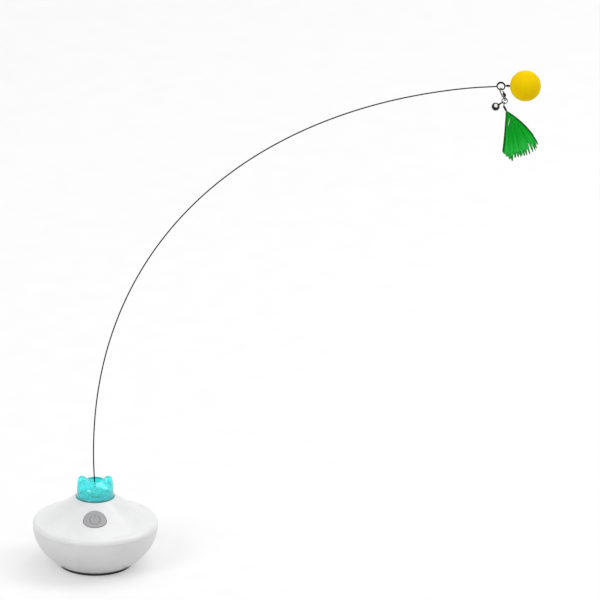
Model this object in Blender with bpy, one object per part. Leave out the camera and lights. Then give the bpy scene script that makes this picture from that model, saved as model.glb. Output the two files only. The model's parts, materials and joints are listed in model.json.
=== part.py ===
"""Interactive feather cat toy: a motor base whose spindle turns a long spring wire with a ball and a feather.

Metres, +Z up. The origin is the centre of the rubber foot's underside, the wand arcs over towards +X,
the power button faces -Y and the charging socket faces +Y.
"""

import math

import bmesh
import bpy
from mathutils import Matrix, Vector

# Overall sizes
BASE_RADIUS = 0.0500
FOOT_RADIUS = 0.0293
FOOT_THICKNESS = 0.0018
FOOT_EDGE = 0.0003
SEAM_HEIGHT = 0.0333
CAP_RADIUS = 0.0145
CAP_RISE = 0.0154
EYE_REACH = 0.3221
EYE_HEIGHT = 0.4055
BALL_RADIUS = 0.01225
BALL_GAP = 0.0041

# Shared clearances
FIT = 0.0003
SLIDE_FIT = 0.00025
OVERRUN = 0.0020
SINK = 0.0004
MERGE = 0.000001
SHARP_ANGLE = math.radians(35)

# Facets round a full turn
BIG_SIDES = 40
MID_SIDES = 28
SMALL_SIDES = 12
TINY_SIDES = 8

# Walls of the two shells
WALL = 0.0020
BOWL_FOOT_PULL = 0.0080
BOWL_FOOT_LIFT = 0.0040
BOWL_SIDE_PULL = 0.0155
SLOPE_NECK_PULL = 0.0150
SLOPE_RIM_PULL = 0.0100
SLOPE_NECK_ANGLE = math.radians(38)
RIM_RADIUS = 0.0040
RIM_EDGE = 0.0005
RIM_START_ANGLE = math.radians(80)
TONGUE_HEIGHT = 0.0010
TONGUE_THICKNESS = 0.0011
DECK_RISE = 0.0102
DECK_THICKNESS = 0.0022
NECK_RECESS = 0.0012
NECK_WALL = 0.0010

# Screws that hold the shells together, from below
SHELL_SCREW_INSET = 0.0140
SHELL_SCREW_ANGLES = [math.radians(turn) for turn in (20, 160, 230, 310)]
COLUMN_RADIUS = 0.0039
COLUMN_DROP = 0.0093
COLUMN_LEDGE = 0.0050
SHELL_BOSS_RADIUS = 0.0031
SHELL_BOSS_STEP = 0.0003
SCREW_HEAD_RADIUS = 0.0022
SCREW_HEAD_HEIGHT = 0.0014
SCREW_CROWN_SHARE = 0.8
SCREW_SHANK_RADIUS = 0.0010
SHELL_SCREW_LENGTH = 0.0115
SHORT_SCREW_LENGTH = 0.0060

# Chassis plate, hung from the upper shell on three bosses
PLATE_GAP = 0.0007
PLATE_RISE = 0.0009
PLATE_THICKNESS = 0.0022
PLATE_BOSS_INSET = 0.0037
PLATE_BOSS_RADIUS = 0.0028
PLATE_BOSS_ANGLES = [math.radians(turn) for turn in (90, 210, 330)]
LEAD_HOLE_RADIUS = 0.0024
LEAD_HOLE_REACH = 0.0180

# Spindle and its gear pair
SPINDLE_RADIUS = 0.00125
SPINDLE_TAIL = 0.0022
BUSH_RADIUS = 0.0030
BUSH_FLANGE_RADIUS = 0.0040
BUSH_FLANGE_THICKNESS = 0.0008
BUSH_REACH = 0.0006
CLIP_RADIUS = 0.0028
CLIP_THICKNESS = 0.0006
GEAR_MODULE = 0.0007
GEAR_TEETH = 35
PINION_TEETH = 14
GEAR_RISE = 0.0022
GEAR_WIDTH = 0.0050
GEAR_BACKLASH = 0.00016
TIP_HEIGHT_SHARE = 0.80
ROOT_DEPTH_SHARE = 1.05
PRESSURE_ANGLE = math.radians(20)
HUB_RADIUS = 0.0032
WEB_DEPTH = 0.0012
WEB_RIM = 0.0016
GEAR_CENTRES = GEAR_MODULE * (GEAR_TEETH + PINION_TEETH) / 2

# Gear motor
MOTOR_WIDTH = 0.0120
MOTOR_DEPTH = 0.0100
GEARBOX_LENGTH = 0.0090
MOTOR_SHAFT_RADIUS = 0.0015
MOTOR_SHAFT_SEAT = 0.0036
MOTOR_SCREW_SPACING = 0.0090
MOTOR_SCREW_RADIUS = 0.0007
MOTOR_SCREW_HEAD = 0.0013
MOTOR_SCREW_HEAD_HEIGHT = 0.0009
MOTOR_SCREW_LENGTH = 0.0045
BOX_EDGE = 0.0005

# Ballast disc on the floor of the bowl
BALLAST_INSET = 0.0038
BALLAST_THICKNESS = 0.0052
BALLAST_WEB = 0.0030
BALLAST_EDGE = 0.0005
FLOOR_BOSS_RADIUS = 0.0030
FLOOR_BOSS_HEIGHT = 0.0022

# Battery and its tray
BATTERY_LENGTH = 0.0340
BATTERY_EDGE = 0.0015
BATTERY_EDGE_SHARE = 0.2
TRAY_FLOOR = 0.0012
TRAY_WALL = 0.0010
TRAY_HEIGHT = 0.0050
TRAY_MOTOR_GAP = 0.0012
TRAY_BACK_INSET = 0.0202

# Main board with the charging socket on its back edge
BOARD_THICKNESS = 0.0016
BOARD_WIDTH = 0.0320
BOARD_TAPER = 0.0050
BOARD_DROP = 0.0113
BOARD_GAP = 0.0026
BOARD_LENGTH = 0.0210
BOARD_POST_SPACING = 0.0260
BOARD_POST_INSET = 0.0070
BOARD_POST_RADIUS = 0.0026
SOCKET_WIDTH = 0.0089
SOCKET_HEIGHT = 0.0032
SOCKET_LENGTH = 0.0074
SOCKET_RECESS = 0.0005
SOCKET_OVERHANG = 0.0048
SOCKET_SHEET = 0.0003
SOCKET_TONGUE_WIDTH = 0.0066
SOCKET_TONGUE = 0.0007
SOCKET_DEPTH = 0.0060
CHIP_SIZE = 0.0060
CHIP_HEIGHT = 0.0010

# Ear cap and the lamps under it
CAP_FLANGE_LAP = 0.0006
CAP_FLANGE_HEIGHT = 0.0016
CAP_SHOULDER_RISE = 0.0075
CAP_WALL = 0.0012
CAP_HOLE_RADIUS = 0.0054
CAP_FLANGE_STEP = 0.0005
EAR_BASE_RISE = 0.0050
EAR_TIP_RISE = 0.0183
EAR_BASE_INSET = 0.0056
EAR_TIP_INSET = 0.0046
EAR_HALF_WIDTH = 0.0054
EAR_HALF_DEPTH = 0.0060
EAR_TIP_WALL = 0.0020
EAR_SIDES = 16
DOME_STEPS = 5
EAR_SHARES = [(0, 1, 1), (0.3, 0.92, 0.93), (0.6, 0.79, 0.72), (0.85, 0.58, 0.43), (0.96, 0.34, 0.24)]
LAMP_BOARD_GAP = 0.0005
LAMP_BOARD_HOLE = 0.0050
LAMP_BOARD_THICKNESS = 0.0012
LAMP_RADIUS = 0.0014
LAMP_HEIGHT = 0.0022
LAMP_COUNT = 4

# Power button on the front slope, in a frame whose +Z leaves the shell
BUTTON_CIRCLE_SHARE = 0.375
BUTTON_HALF_WIDTH = 0.00915
BUTTON_RISE = 0.0091
BUTTON_DROP = 0.0064
BUTTON_PROUD = 0.0005
BUTTON_SKIN = 0.0016
BUTTON_TRAVEL = 0.0006
BUTTON_FLANGE_DEPTH = 0.0034
BUTTON_FLANGE_THICKNESS = 0.0008
BUTTON_FLANGE_LAP = 0.0011
BUTTON_STEM_RADIUS = 0.0030
PLUNGER_RADIUS = 0.0013
PLUNGER_LENGTH = 0.0016
SWITCH_SIZE = 0.0052
SWITCH_HEIGHT = 0.0020
SWITCH_FLOOR = 0.0003
SWITCH_BOARD_WIDTH = 0.0090
SWITCH_BOARD_HEIGHT = 0.0080
SWITCH_BOARD_THICKNESS = 0.0010
PEDESTAL_SPACING = 0.0029
PEDESTAL_THICKNESS = 0.0014
PEDESTAL_INSET = 0.0006

# Wand socket on the spindle and the wire's root in it
SOCKET_HUB_RADIUS = 0.0030
SOCKET_HUB_HEIGHT = 0.0030
SOCKET_HUB_EDGE = 0.0005
SOCKET_POST_RADIUS = 0.0021
SOCKET_WEB = 0.0007
SOCKET_CUP_DEPTH = 0.0013
SOCKET_MOUTH_RISE = 0.0028
ROOT_BEAD_RADIUS = 0.00085
SOCKET_MOUTH_RADIUS = 0.00155
SLEEVE_START = 0.0035
SLEEVE_LENGTH = 0.0032
SLEEVE_FOOT_RADIUS = 0.00125
SLEEVE_TIP_RADIUS = 0.0010

# Spring wire, its eye and the ball at its end
WIRE_RADIUS = 0.0005
WAND_LEAN = math.radians(-4.4)
WAND_END_SLOPE = math.radians(87.0)
WAND_ROOT_PULL = 0.2101
WAND_END_PULL = 0.1899
WAND_POINTS = 36
EYE_RADIUS = 0.00305
EYE_OFFSET = 0.000725
EYE_BEND = 0.0010
EYE_STEP = math.radians(20)
EYE_SHIFT_SHARE = 0.03
BALL_BORE_DEPTH = 0.0100
BALL_SIDES = 22
FERRULE_WALL = 0.00035

# Clasp, in a flat frame: across is its width, along runs down from the wire it hangs on
CLASP_LEAN = math.radians(23)
CLASP_TWIST = math.radians(25)
CLASP_WIRE = 0.00045
CLASP_HALF_WIDTH = 0.0020
CLASP_SPINE_END = 0.0045
CLASP_PIN_ALONG = 0.0047
CLASP_PIN_ACROSS = 0.0016
CLASP_BASE_ALONG = 0.0062
CLASP_MOUTH_ALONG = 0.0014
CLASP_CHEEK_RADIUS = 0.0007
CLASP_CHEEK_THICKNESS = 0.00045
CLASP_ROOT_RADIUS = 0.00052
CLASP_EYELET_RADIUS = 0.0015
GATE_THICKNESS = 0.0006
GATE_HALF_WIDTH = 0.00035
GATE_TAB_REACH = 0.0012
PIN_RADIUS = 0.0003
PIN_HEAD_RADIUS = 0.0006
PIN_HEAD_THICKNESS = 0.0002
PIN_FIT = 0.00015

# Jump ring, bell and feather below the clasp
RING_RADIUS = 0.0022
RING_WIRE = 0.00035
RING_PLAY = 0.0004
RING_LEAN = math.radians(225)
LOOP_WIRE = 0.0003
LOOP_RADIUS = 0.0010
BELL_ANGLE = math.radians(214)
BELL_RADIUS = 0.00325
BELL_SIDES = 16
BELL_WALL = 0.0005
BELL_DROP = 0.0064
BELL_STEM_RADIUS = 0.0006
BELL_SEAM = 0.0003
BELL_SLOT = 0.0009
BELL_SLOT_END = 0.0007
PELLET_RADIUS = 0.0009
FEATHER_ANGLE = math.radians(260)
CRIMP_RADIUS = 0.0009
CRIMP_WALL = 0.0003
CRIMP_STEM_RADIUS = 0.0004
CRIMP_NOSE_SHARE = 0.7
CRIMP_LENGTH = 0.0042
CRIMP_ANGLE = math.radians(-62)
CRIMP_DROP = 0.0022
QUILL_RADIUS = 0.0003
QUILL_LENGTH = 0.0024
FEATHER_LENGTH = 0.0420
FEATHER_STRANDS = 14
FEATHER_ROOT_WIDTH = 0.0009
FEATHER_ROOT_THICKNESS = 0.0007
FEATHER_THICKNESS = 0.0022
FEATHER_TIP_THICKNESS = 0.0004
FEATHER_PLEAT = 0.0008
FEATHER_LEFT_ANGLE = math.radians(-95)
FEATHER_RIGHT_ANGLE = math.radians(-47)
FEATHER_LEFT_START = math.radians(-93)
FEATHER_RIGHT_START = math.radians(-31)
FEATHER_SWELL_SHARE = 0.91
FEATHER_BODY_ROWS = 5
FEATHER_LENGTH_SHARES = [
    0.86, 0.93, 1.0, 1.02, 0.97, 0.99, 1.01, 0.98, 1.0, 0.99, 0.98, 0.97, 0.95, 0.92,
]
FEATHER_SLIT_SHARES = [0.93, 0.90, 0.94, 0.88, 0.92, 0.86, 0.90, 0.84, 0.86, 0.78, 0.82, 0.72, 0.78]

# Radii and places that follow from the sizes above
CAP_FLANGE_RADIUS = CAP_RADIUS + CAP_FLANGE_LAP
NECK_RADIUS = CAP_FLANGE_RADIUS + FIT + NECK_WALL
SHELL_SCREW_CIRCLE = BASE_RADIUS - SHELL_SCREW_INSET
PLATE_RADIUS = SHELL_SCREW_CIRCLE - SHELL_BOSS_RADIUS - PLATE_GAP
PLATE_BOSS_CIRCLE = PLATE_RADIUS - PLATE_BOSS_INSET
BALLAST_RADIUS = min(FOOT_RADIUS, SHELL_SCREW_CIRCLE - COLUMN_RADIUS) - BALLAST_INSET
BUTTON_CIRCLE = NECK_RADIUS + (BASE_RADIUS - NECK_RADIUS) * BUTTON_CIRCLE_SHARE
LAMP_BOARD_RADIUS = CAP_RADIUS - CAP_WALL - LAMP_BOARD_GAP
LAMP_CIRCLE = (LAMP_BOARD_RADIUS + LAMP_BOARD_HOLE) / 2
MOTOR_X = -GEAR_CENTRES
TRAY_FRONT = MOTOR_WIDTH / 2 + TRAY_MOTOR_GAP
TRAY_BACK = BASE_RADIUS - TRAY_BACK_INSET
BATTERY_WIDTH = TRAY_BACK - TRAY_FRONT - (FIT + TRAY_WALL) * 2
BALL_REACH = EYE_REACH + EYE_RADIUS + BALL_GAP + BALL_RADIUS

# Heights that follow, from the floor up
SEAM_TOP = SEAM_HEIGHT + FIT / 2
SEAM_BOTTOM = SEAM_HEIGHT - FIT / 2
BOWL_BOTTOM = FOOT_THICKNESS + FIT
FLOOR_TOP = BOWL_BOTTOM + WALL
BALLAST_BOTTOM = FLOOR_TOP + FIT
BALLAST_TOP = BALLAST_BOTTOM + BALLAST_THICKNESS
TRAY_BOTTOM = BALLAST_TOP + FIT
BATTERY_BOTTOM = TRAY_BOTTOM + TRAY_FLOOR + FIT
BOARD_BOTTOM = SEAM_HEIGHT - BOARD_DROP
BOARD_TOP = BOARD_BOTTOM + BOARD_THICKNESS
BATTERY_TOP = BOARD_BOTTOM - BOARD_GAP
COLUMN_TOP = SEAM_HEIGHT - COLUMN_DROP
PLATE_BOTTOM = SEAM_HEIGHT + PLATE_RISE
PLATE_TOP = PLATE_BOTTOM + PLATE_THICKNESS
SPINDLE_BOTTOM = PLATE_BOTTOM - SPINDLE_TAIL
GEARBOX_TOP = PLATE_BOTTOM - FIT
GEARBOX_BOTTOM = GEARBOX_TOP - GEARBOX_LENGTH
CAN_BOTTOM = BALLAST_TOP + FIT
GEAR_BOTTOM = PLATE_TOP + GEAR_RISE
GEAR_TOP = GEAR_BOTTOM + GEAR_WIDTH
DECK_BOTTOM = GEAR_TOP + DECK_RISE
DECK_HEIGHT = DECK_BOTTOM + DECK_THICKNESS
NECK_HEIGHT = DECK_HEIGHT + NECK_RECESS
CAP_SHOULDER_HEIGHT = DECK_HEIGHT + CAP_SHOULDER_RISE
CAP_TOP_HEIGHT = DECK_HEIGHT + CAP_RISE
EAR_BASE_HEIGHT = DECK_HEIGHT + EAR_BASE_RISE
EAR_TIP_HEIGHT = DECK_HEIGHT + EAR_TIP_RISE
LAMP_BOARD_BOTTOM = DECK_HEIGHT + FIT
LAMP_BOARD_TOP = LAMP_BOARD_BOTTOM + LAMP_BOARD_THICKNESS
BUSH_TOP = DECK_HEIGHT + FIT + BUSH_FLANGE_THICKNESS
SOCKET_BOTTOM = BUSH_TOP + FIT
SPINDLE_TOP = SOCKET_BOTTOM + SOCKET_HUB_HEIGHT - FIT
SOCKET_CUP_BOTTOM = SOCKET_BOTTOM + SOCKET_HUB_HEIGHT + SOCKET_WEB
WAND_HINGE_HEIGHT = SOCKET_CUP_BOTTOM + SOCKET_CUP_DEPTH
SOCKET_MOUTH_HEIGHT = WAND_HINGE_HEIGHT + SOCKET_MOUTH_RISE
EYE = Vector((EYE_REACH, 0, EYE_HEIGHT))
STAND_UP = Matrix.Rotation(math.pi / 2, 4, "X")

# Colour, roughness, metallic and opacity of each finish
WHITE_PLASTIC = ((0.83, 0.83, 0.83), 0.35, 0, 1)
SHADE_PLASTIC = ((0.62, 0.62, 0.62), 0.40, 0, 1)
INNER_PLASTIC = ((0.70, 0.71, 0.70), 0.50, 0, 1)
TEAL_PLASTIC = ((0.03, 0.75, 0.75), 0.12, 0, 0.6)
GREY_BUTTON = ((0.38, 0.38, 0.39), 0.45, 0, 1)
DARK_RUBBER = ((0.03, 0.03, 0.03), 0.75, 0, 1)
CLEAR_RUBBER = ((0.55, 0.60, 0.60), 0.45, 0, 1)
STEEL = ((0.55, 0.55, 0.56), 0.28, 1, 1)
WIRE_STEEL = ((0.16, 0.16, 0.17), 0.35, 1, 1)
BRIGHT_METAL = ((0.78, 0.78, 0.79), 0.18, 1, 1)
DARK_METAL = ((0.14, 0.14, 0.15), 0.25, 1, 1)
CAST_IRON = ((0.16, 0.16, 0.17), 0.65, 1, 1)
BRASS = ((0.72, 0.55, 0.24), 0.35, 1, 1)
GEAR_PLASTIC = ((0.80, 0.78, 0.70), 0.45, 0, 1)
GREEN_BOARD = ((0.02, 0.22, 0.10), 0.40, 0, 1)
WHITE_BOARD = ((0.78, 0.79, 0.78), 0.40, 0, 1)
BLACK_PLASTIC = ((0.02, 0.02, 0.02), 0.45, 0, 1)
LAMP_PLASTIC = ((0.90, 0.90, 0.85), 0.20, 0, 0.7)
BATTERY_WRAP = ((0.55, 0.57, 0.62), 0.35, 0, 1)
YELLOW_FOAM = ((1.0, 0.62, 0.0), 0.80, 0, 1)
GREEN_FEATHER = ((0.01, 0.33, 0.04), 0.60, 0, 1)


def clear_scene():
    for old in list(bpy.data.objects):
        bpy.data.objects.remove(old)


def face_out(shape):
    """Every face of a closed shape turned outwards."""
    shape.normal_update()
    bmesh.ops.recalc_face_normals(shape, faces=shape.faces)
    return shape


def principled(name, finish):
    """A Principled material from a (colour, roughness, metallic, opacity) finish."""
    colour, roughness, metallic, opacity = finish
    material = bpy.data.materials.new(name)
    material.use_nodes = True
    shader = material.node_tree.nodes["Principled BSDF"]
    shader.inputs["Base Color"].default_value = (*colour, 1)
    shader.inputs["Roughness"].default_value = roughness
    shader.inputs["Metallic"].default_value = metallic
    shader.inputs["Alpha"].default_value = opacity
    material.diffuse_color = (*colour, opacity)
    return material


def pivot(name, place, parent=None):
    """An empty on a joint's axis, which carries the pieces that turn about it."""
    empty = bpy.data.objects.new(name, None)
    empty.empty_display_size = BALL_RADIUS
    bpy.context.scene.collection.objects.link(empty)
    empty.location = Vector(place) - (origin_of(parent) if parent else Vector())
    empty.parent = parent
    return empty


def origin_of(empty):
    """World place of an empty that only moves, with all its parents."""
    place = Vector(empty.location)
    while empty.parent:
        empty = empty.parent
        place += Vector(empty.location)
    return place


def add(name, shape, finish, carrier=None):
    """A visible piece from a bmesh in world space, with its origin on its carrier."""
    if carrier:
        shape.transform(Matrix.Translation(-origin_of(carrier)))
    mesh = bpy.data.meshes.new(name)
    face_out(shape).to_mesh(mesh)
    shape.free()
    mesh.materials.append(principled(name, finish))
    mesh.shade_smooth()
    mesh.set_sharp_from_angle(angle=SHARP_ANGLE)
    piece = bpy.data.objects.new(name, mesh)
    piece.parent = carrier
    bpy.context.scene.collection.objects.link(piece)
    return piece


def helper(name, shape, carrier=None):
    """A hidden shape that a Boolean cuts or joins with."""
    piece = add(name, shape, INNER_PLASTIC, carrier)
    piece.hide_render = True
    piece.display_type = "WIRE"
    return piece


def combine(piece, other, operation):
    step = piece.modifiers.new(f"{operation.lower()}_{other.name}", "BOOLEAN")
    step.operation = operation
    step.object = other


def cut(piece, shape, label, carrier=None):
    combine(piece, helper(f"{piece.name}_{label}", shape, carrier), "DIFFERENCE")


def join(piece, shape, label, carrier=None):
    combine(piece, helper(f"{piece.name}_{label}", shape, carrier), "UNION")


def merged(*shapes):
    """One bmesh holding several that don't touch."""
    whole = bmesh.new()
    for shape in shapes:
        mesh = bpy.data.meshes.new("merge")
        shape.to_mesh(mesh)
        shape.free()
        whole.from_mesh(mesh)
        bpy.data.meshes.remove(mesh)
    return whole


def moved(shape, x=0, y=0, z=0):
    shape.transform(Matrix.Translation((x, y, z)))
    return shape


def framed(shape, frame):
    shape.transform(frame)
    return shape


def lathe(outline, sides):
    """A solid turned round Z from closed outline points (radius, height)."""
    shape = bmesh.new()
    corners = [shape.verts.new((radius, 0, height)) for radius, height in outline]
    for first, second in zip(corners, corners[1:] + corners[:1]):
        if first.co.x > 0 or second.co.x > 0:
            shape.edges.new((first, second))
    bmesh.ops.spin(
        shape,
        geom=shape.verts[:] + shape.edges[:],
        axis=(0, 0, 1),
        angle=math.tau,
        steps=sides,
        use_merge=True,
    )
    bmesh.ops.remove_doubles(shape, verts=shape.verts, dist=MERGE)
    return face_out(shape)


def cylinder(radius, bottom, top, sides=SMALL_SIDES):
    return lathe([(0, bottom), (radius, bottom), (radius, top), (0, top)], sides)


def pipe(bore, radius, bottom, top, sides=SMALL_SIDES):
    return lathe([(bore, bottom), (radius, bottom), (radius, top), (bore, top)], sides)


def prism(outline, bottom, top):
    """A flat outline (x, y) raised from bottom to top."""
    shape = bmesh.new()
    base = shape.faces.new([shape.verts.new((x, y, bottom)) for x, y in outline])
    raised = bmesh.ops.extrude_face_region(shape, geom=[base])["geom"]
    tops = [item for item in raised if isinstance(item, bmesh.types.BMVert)]
    bmesh.ops.translate(shape, verts=tops, vec=(0, 0, top - bottom))
    return face_out(shape)


def box(centre_x, centre_y, width, depth, bottom, top):
    half_width, half_depth = width / 2, depth / 2
    corners = [(-half_width, -half_depth), (half_width, -half_depth)]
    corners += [(half_width, half_depth), (-half_width, half_depth)]
    return moved(prism(corners, bottom, top), centre_x, centre_y)


def bevelled(shape, edge, vertical_only=False):
    """The shape with its edges rounded off by one flat."""
    edges = [e for e in shape.edges if not vertical_only or is_vertical(e)]
    bmesh.ops.bevel(shape, geom=edges, offset=edge, segments=1, affect="EDGES", profile=0.5)
    return shape


def is_vertical(edge):
    first, second = edge.verts
    return (first.co.xy - second.co.xy).length < MERGE


def ellipse(half_width, half_height, sides):
    turns = [math.tau * step / sides for step in range(sides)]
    return [(half_width * math.cos(turn), half_height * math.sin(turn)) for turn in turns]


def arc(centre, radius, start, end, steps):
    """Points (x, y) round a centre, both ends included."""
    turns = [start + (end - start) * step / steps for step in range(steps + 1)]
    return [(centre[0] + radius * math.cos(a), centre[1] + radius * math.sin(a)) for a in turns]


def bezier(start, start_pull, end_pull, end, steps):
    """Points along a cubic curve, in two or three dimensions."""
    corners = [Vector(point) for point in (start, start_pull, end_pull, end)]
    points = []
    for step in range(steps + 1):
        t = step / steps
        weights = [(1 - t) ** 3, 3 * t * (1 - t) ** 2, 3 * t * t * (1 - t), t**3]
        total = corners[0] * weights[0]
        for corner, weight in zip(corners[1:], weights[1:]):
            total = total + corner * weight
        points.append(tuple(total))
    return points


def inset(points, distance):
    """An open outline moved to its right-hand side by a distance."""
    places = [Vector(point) for point in points]
    result = []
    for index, place in enumerate(places):
        ahead = places[min(index + 1, len(places) - 1)]
        behind = places[max(index - 1, 0)]
        along = (ahead - behind).normalized()
        result.append((place.x + along.y * distance, place.y - along.x * distance))
    return result


def below(points, height):
    """The part of a falling outline below a height, starting exactly at it."""
    for index, (upper, lower) in enumerate(zip(points, points[1:])):
        if upper[1] >= height > lower[1]:
            share = (upper[1] - height) / (upper[1] - lower[1])
            crossing = (upper[0] + (lower[0] - upper[0]) * share, height)
            return [crossing] + points[index + 1 :]
    return points


def tube(points, radius, cyclic=False):
    """A round wire along points, as a welded bmesh with eight sides."""
    curve = bpy.data.curves.new("route", "CURVE")
    curve.dimensions = "3D"
    curve.bevel_depth = radius
    curve.bevel_resolution = 2
    curve.use_fill_caps = True
    spline = curve.splines.new("POLY")
    spline.points.add(len(points) - 1)
    for knot, place in zip(spline.points, points):
        knot.co = (*place, 1)
    spline.use_cyclic_u = cyclic
    route = bpy.data.objects.new("route", curve)
    mesh = route.to_mesh()
    shape = bmesh.new()
    shape.from_mesh(mesh)
    route.to_mesh_clear()
    bpy.data.objects.remove(route)
    bpy.data.curves.remove(curve)
    bmesh.ops.remove_doubles(shape, verts=shape.verts, dist=MERGE)
    return face_out(shape)


def ring(radius, wire, sides=SMALL_SIDES):
    """A wire ring round Z, centred on the origin."""
    return lathe(arc((radius, 0), wire, 0, math.tau * (1 - 1 / 8), 7), sides)


def frame_from(place, x_axis, z_axis):
    """A matrix at a place with the given X and Z directions."""
    third = z_axis.cross(x_axis)
    turn = Matrix((x_axis, third, z_axis)).transposed()
    return Matrix.Translation(place) @ turn.to_4x4()


def around(circle, angle):
    return circle * math.cos(angle), circle * math.sin(angle)


def screw(name, place, seat, down, length, head, head_height, shank):
    """A pan-head screw whose head touches its seat; its shank goes up, or down if asked."""
    way = -1 if down else 1
    near = seat + way * -FIT
    far = near - way * head_height
    tip = near + way * length
    cone = shank * way
    outline = [(0, far), (head * SCREW_CROWN_SHARE, far)]
    outline += [(head, far + way * head_height / 2), (head, near)]
    outline += [(shank, near), (shank, tip - cone), (0, tip)]
    return add(name, moved(lathe(outline, TINY_SIDES), *place), STEEL)


def slope_outline():
    """The upper shell's outer face from the neck to the seam."""
    rim_centre = (BASE_RADIUS - RIM_RADIUS, SEAM_TOP + RIM_EDGE)
    rim = arc(rim_centre, RIM_RADIUS, RIM_START_ANGLE, 0, 4)
    neck_way = Vector((math.cos(SLOPE_NECK_ANGLE), -math.sin(SLOPE_NECK_ANGLE)))
    rim_way = Vector((math.sin(RIM_START_ANGLE), -math.cos(RIM_START_ANGLE)))
    neck = Vector((NECK_RADIUS, NECK_HEIGHT))
    neck_pull = neck + neck_way * SLOPE_NECK_PULL
    rim_pull = Vector(rim[0]) - rim_way * SLOPE_RIM_PULL
    slope = bezier(neck, neck_pull, rim_pull, rim[0], 7)
    return slope[:-1] + rim + [(BASE_RADIUS, SEAM_TOP)]


def bowl_outline():
    """The lower shell's outer face from the seam to the foot."""
    seam = (BASE_RADIUS, SEAM_BOTTOM)
    seam_pull = (BASE_RADIUS, SEAM_BOTTOM - BOWL_SIDE_PULL)
    foot_pull = (FOOT_RADIUS + BOWL_FOOT_PULL, BOWL_BOTTOM + BOWL_FOOT_LIFT)
    return bezier(seam, seam_pull, foot_pull, (FOOT_RADIUS, BOWL_BOTTOM), 8)


def face_at(outline, radius):
    """Height and downward slope angle of a falling outline at a radius."""
    for (inner_radius, inner_height), (outer_radius, outer_height) in zip(outline, outline[1:]):
        if inner_radius <= radius < outer_radius:
            share = (radius - inner_radius) / (outer_radius - inner_radius)
            height = inner_height + (outer_height - inner_height) * share
            return height, math.atan2(inner_height - outer_height, outer_radius - inner_radius)
    raise ValueError("the outline doesn't reach this radius")


def radius_at(outline, height):
    """Radius of a falling outline at a height."""
    return below(outline, height)[0][0]


def button_frame():
    """The button's frame: +Z leaves the slope, +Y points up the slope."""
    height, angle = face_at(slope_outline(), BUTTON_CIRCLE)
    outward = Vector((0, -math.sin(angle), math.cos(angle)))
    return frame_from(Vector((0, -BUTTON_CIRCLE, height)), Vector((1, 0, 0)), outward)


def slope_solid():
    return lathe([(0, NECK_HEIGHT)] + slope_outline() + [(0, SEAM_TOP)], BIG_SIDES)


def make_foot():
    outline = [(0, 0), (FOOT_RADIUS - FOOT_EDGE, 0), (FOOT_RADIUS, FOOT_EDGE)]
    outline += [(FOOT_RADIUS, FOOT_THICKNESS), (0, FOOT_THICKNESS)]
    add("foot_pad", lathe(outline, BIG_SIDES), DARK_RUBBER)


def make_lower_shell():
    outer = bowl_outline()
    inner = inset(outer, WALL)
    inner[0] = (BASE_RADIUS - WALL, SEAM_BOTTOM)
    inner = below(inner, SEAM_BOTTOM)
    inner = [point for point in inner if point[1] > FLOOR_TOP]
    tongue_outer = BASE_RADIUS - WALL - FIT
    tongue_inner = tongue_outer - TONGUE_THICKNESS
    tongue_top = SEAM_TOP + TONGUE_HEIGHT
    solid = [(0, tongue_top), (tongue_outer, tongue_top), (tongue_outer, SEAM_BOTTOM)]
    shell = add("lower_shell", lathe(solid + outer + [(0, BOWL_BOTTOM)], BIG_SIDES), SHADE_PLASTIC)

    top = tongue_top + OVERRUN
    hollow = [(0, top), (tongue_inner, top), (tongue_inner, SEAM_BOTTOM - TONGUE_THICKNESS)]
    lower_inner = [point for point in inner if point[1] < SEAM_BOTTOM - TONGUE_THICKNESS * 2]
    hollow += lower_inner + [(lower_inner[-1][0] - WALL, FLOOR_TOP), (0, FLOOR_TOP)]
    cavity = helper("lower_cavity", lathe(hollow, BIG_SIDES))
    columns = [
        moved(cylinder(COLUMN_RADIUS, 0, COLUMN_TOP), *around(SHELL_SCREW_CIRCLE, angle))
        for angle in SHELL_SCREW_ANGLES
    ]
    posts = [moved(cylinder(BOARD_POST_RADIUS, 0, BOARD_BOTTOM - FIT), *place) for place in board_posts()]
    floor_boss = cylinder(FLOOR_BOSS_RADIUS, 0, FLOOR_TOP + FLOOR_BOSS_HEIGHT)
    cut(cavity, merged(*columns, *posts, floor_boss), "columns")
    combine(shell, cavity, "DIFFERENCE")

    ledge = COLUMN_TOP - COLUMN_LEDGE
    wells = []
    for angle in SHELL_SCREW_ANGLES:
        well = [(0, -OVERRUN), (SCREW_HEAD_RADIUS + FIT, -OVERRUN), (SCREW_HEAD_RADIUS + FIT, ledge)]
        well += [(SCREW_SHANK_RADIUS + FIT, ledge), (SCREW_SHANK_RADIUS + FIT, COLUMN_TOP + OVERRUN)]
        well += [(0, COLUMN_TOP + OVERRUN)]
        wells.append(moved(lathe(well, SMALL_SIDES), *around(SHELL_SCREW_CIRCLE, angle)))
    pilot = SCREW_SHANK_RADIUS + SLIDE_FIT
    for place in board_posts():
        hole = cylinder(pilot, BOARD_BOTTOM - SHORT_SCREW_LENGTH, BOARD_BOTTOM + OVERRUN, TINY_SIDES)
        wells.append(moved(hole, *place))
    boss_top = FLOOR_TOP + FLOOR_BOSS_HEIGHT
    wells.append(cylinder(pilot, FLOOR_TOP - WALL / 2, boss_top + OVERRUN, TINY_SIDES))
    cut(shell, merged(*wells), "wells")
    cut(shell, socket_window(), "socket_window")


def board_back():
    return socket_place()[0] - SOCKET_OVERHANG


def board_posts():
    row = board_back() - BOARD_POST_INSET
    return [(side * BOARD_POST_SPACING / 2, row) for side in (-1, 1)]


def around_screws(shape_at):
    """A shape for each place of the screws between the shells, as one bmesh."""
    return merged(*[moved(shape_at(), *around(SHELL_SCREW_CIRCLE, angle)) for angle in SHELL_SCREW_ANGLES])


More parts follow.
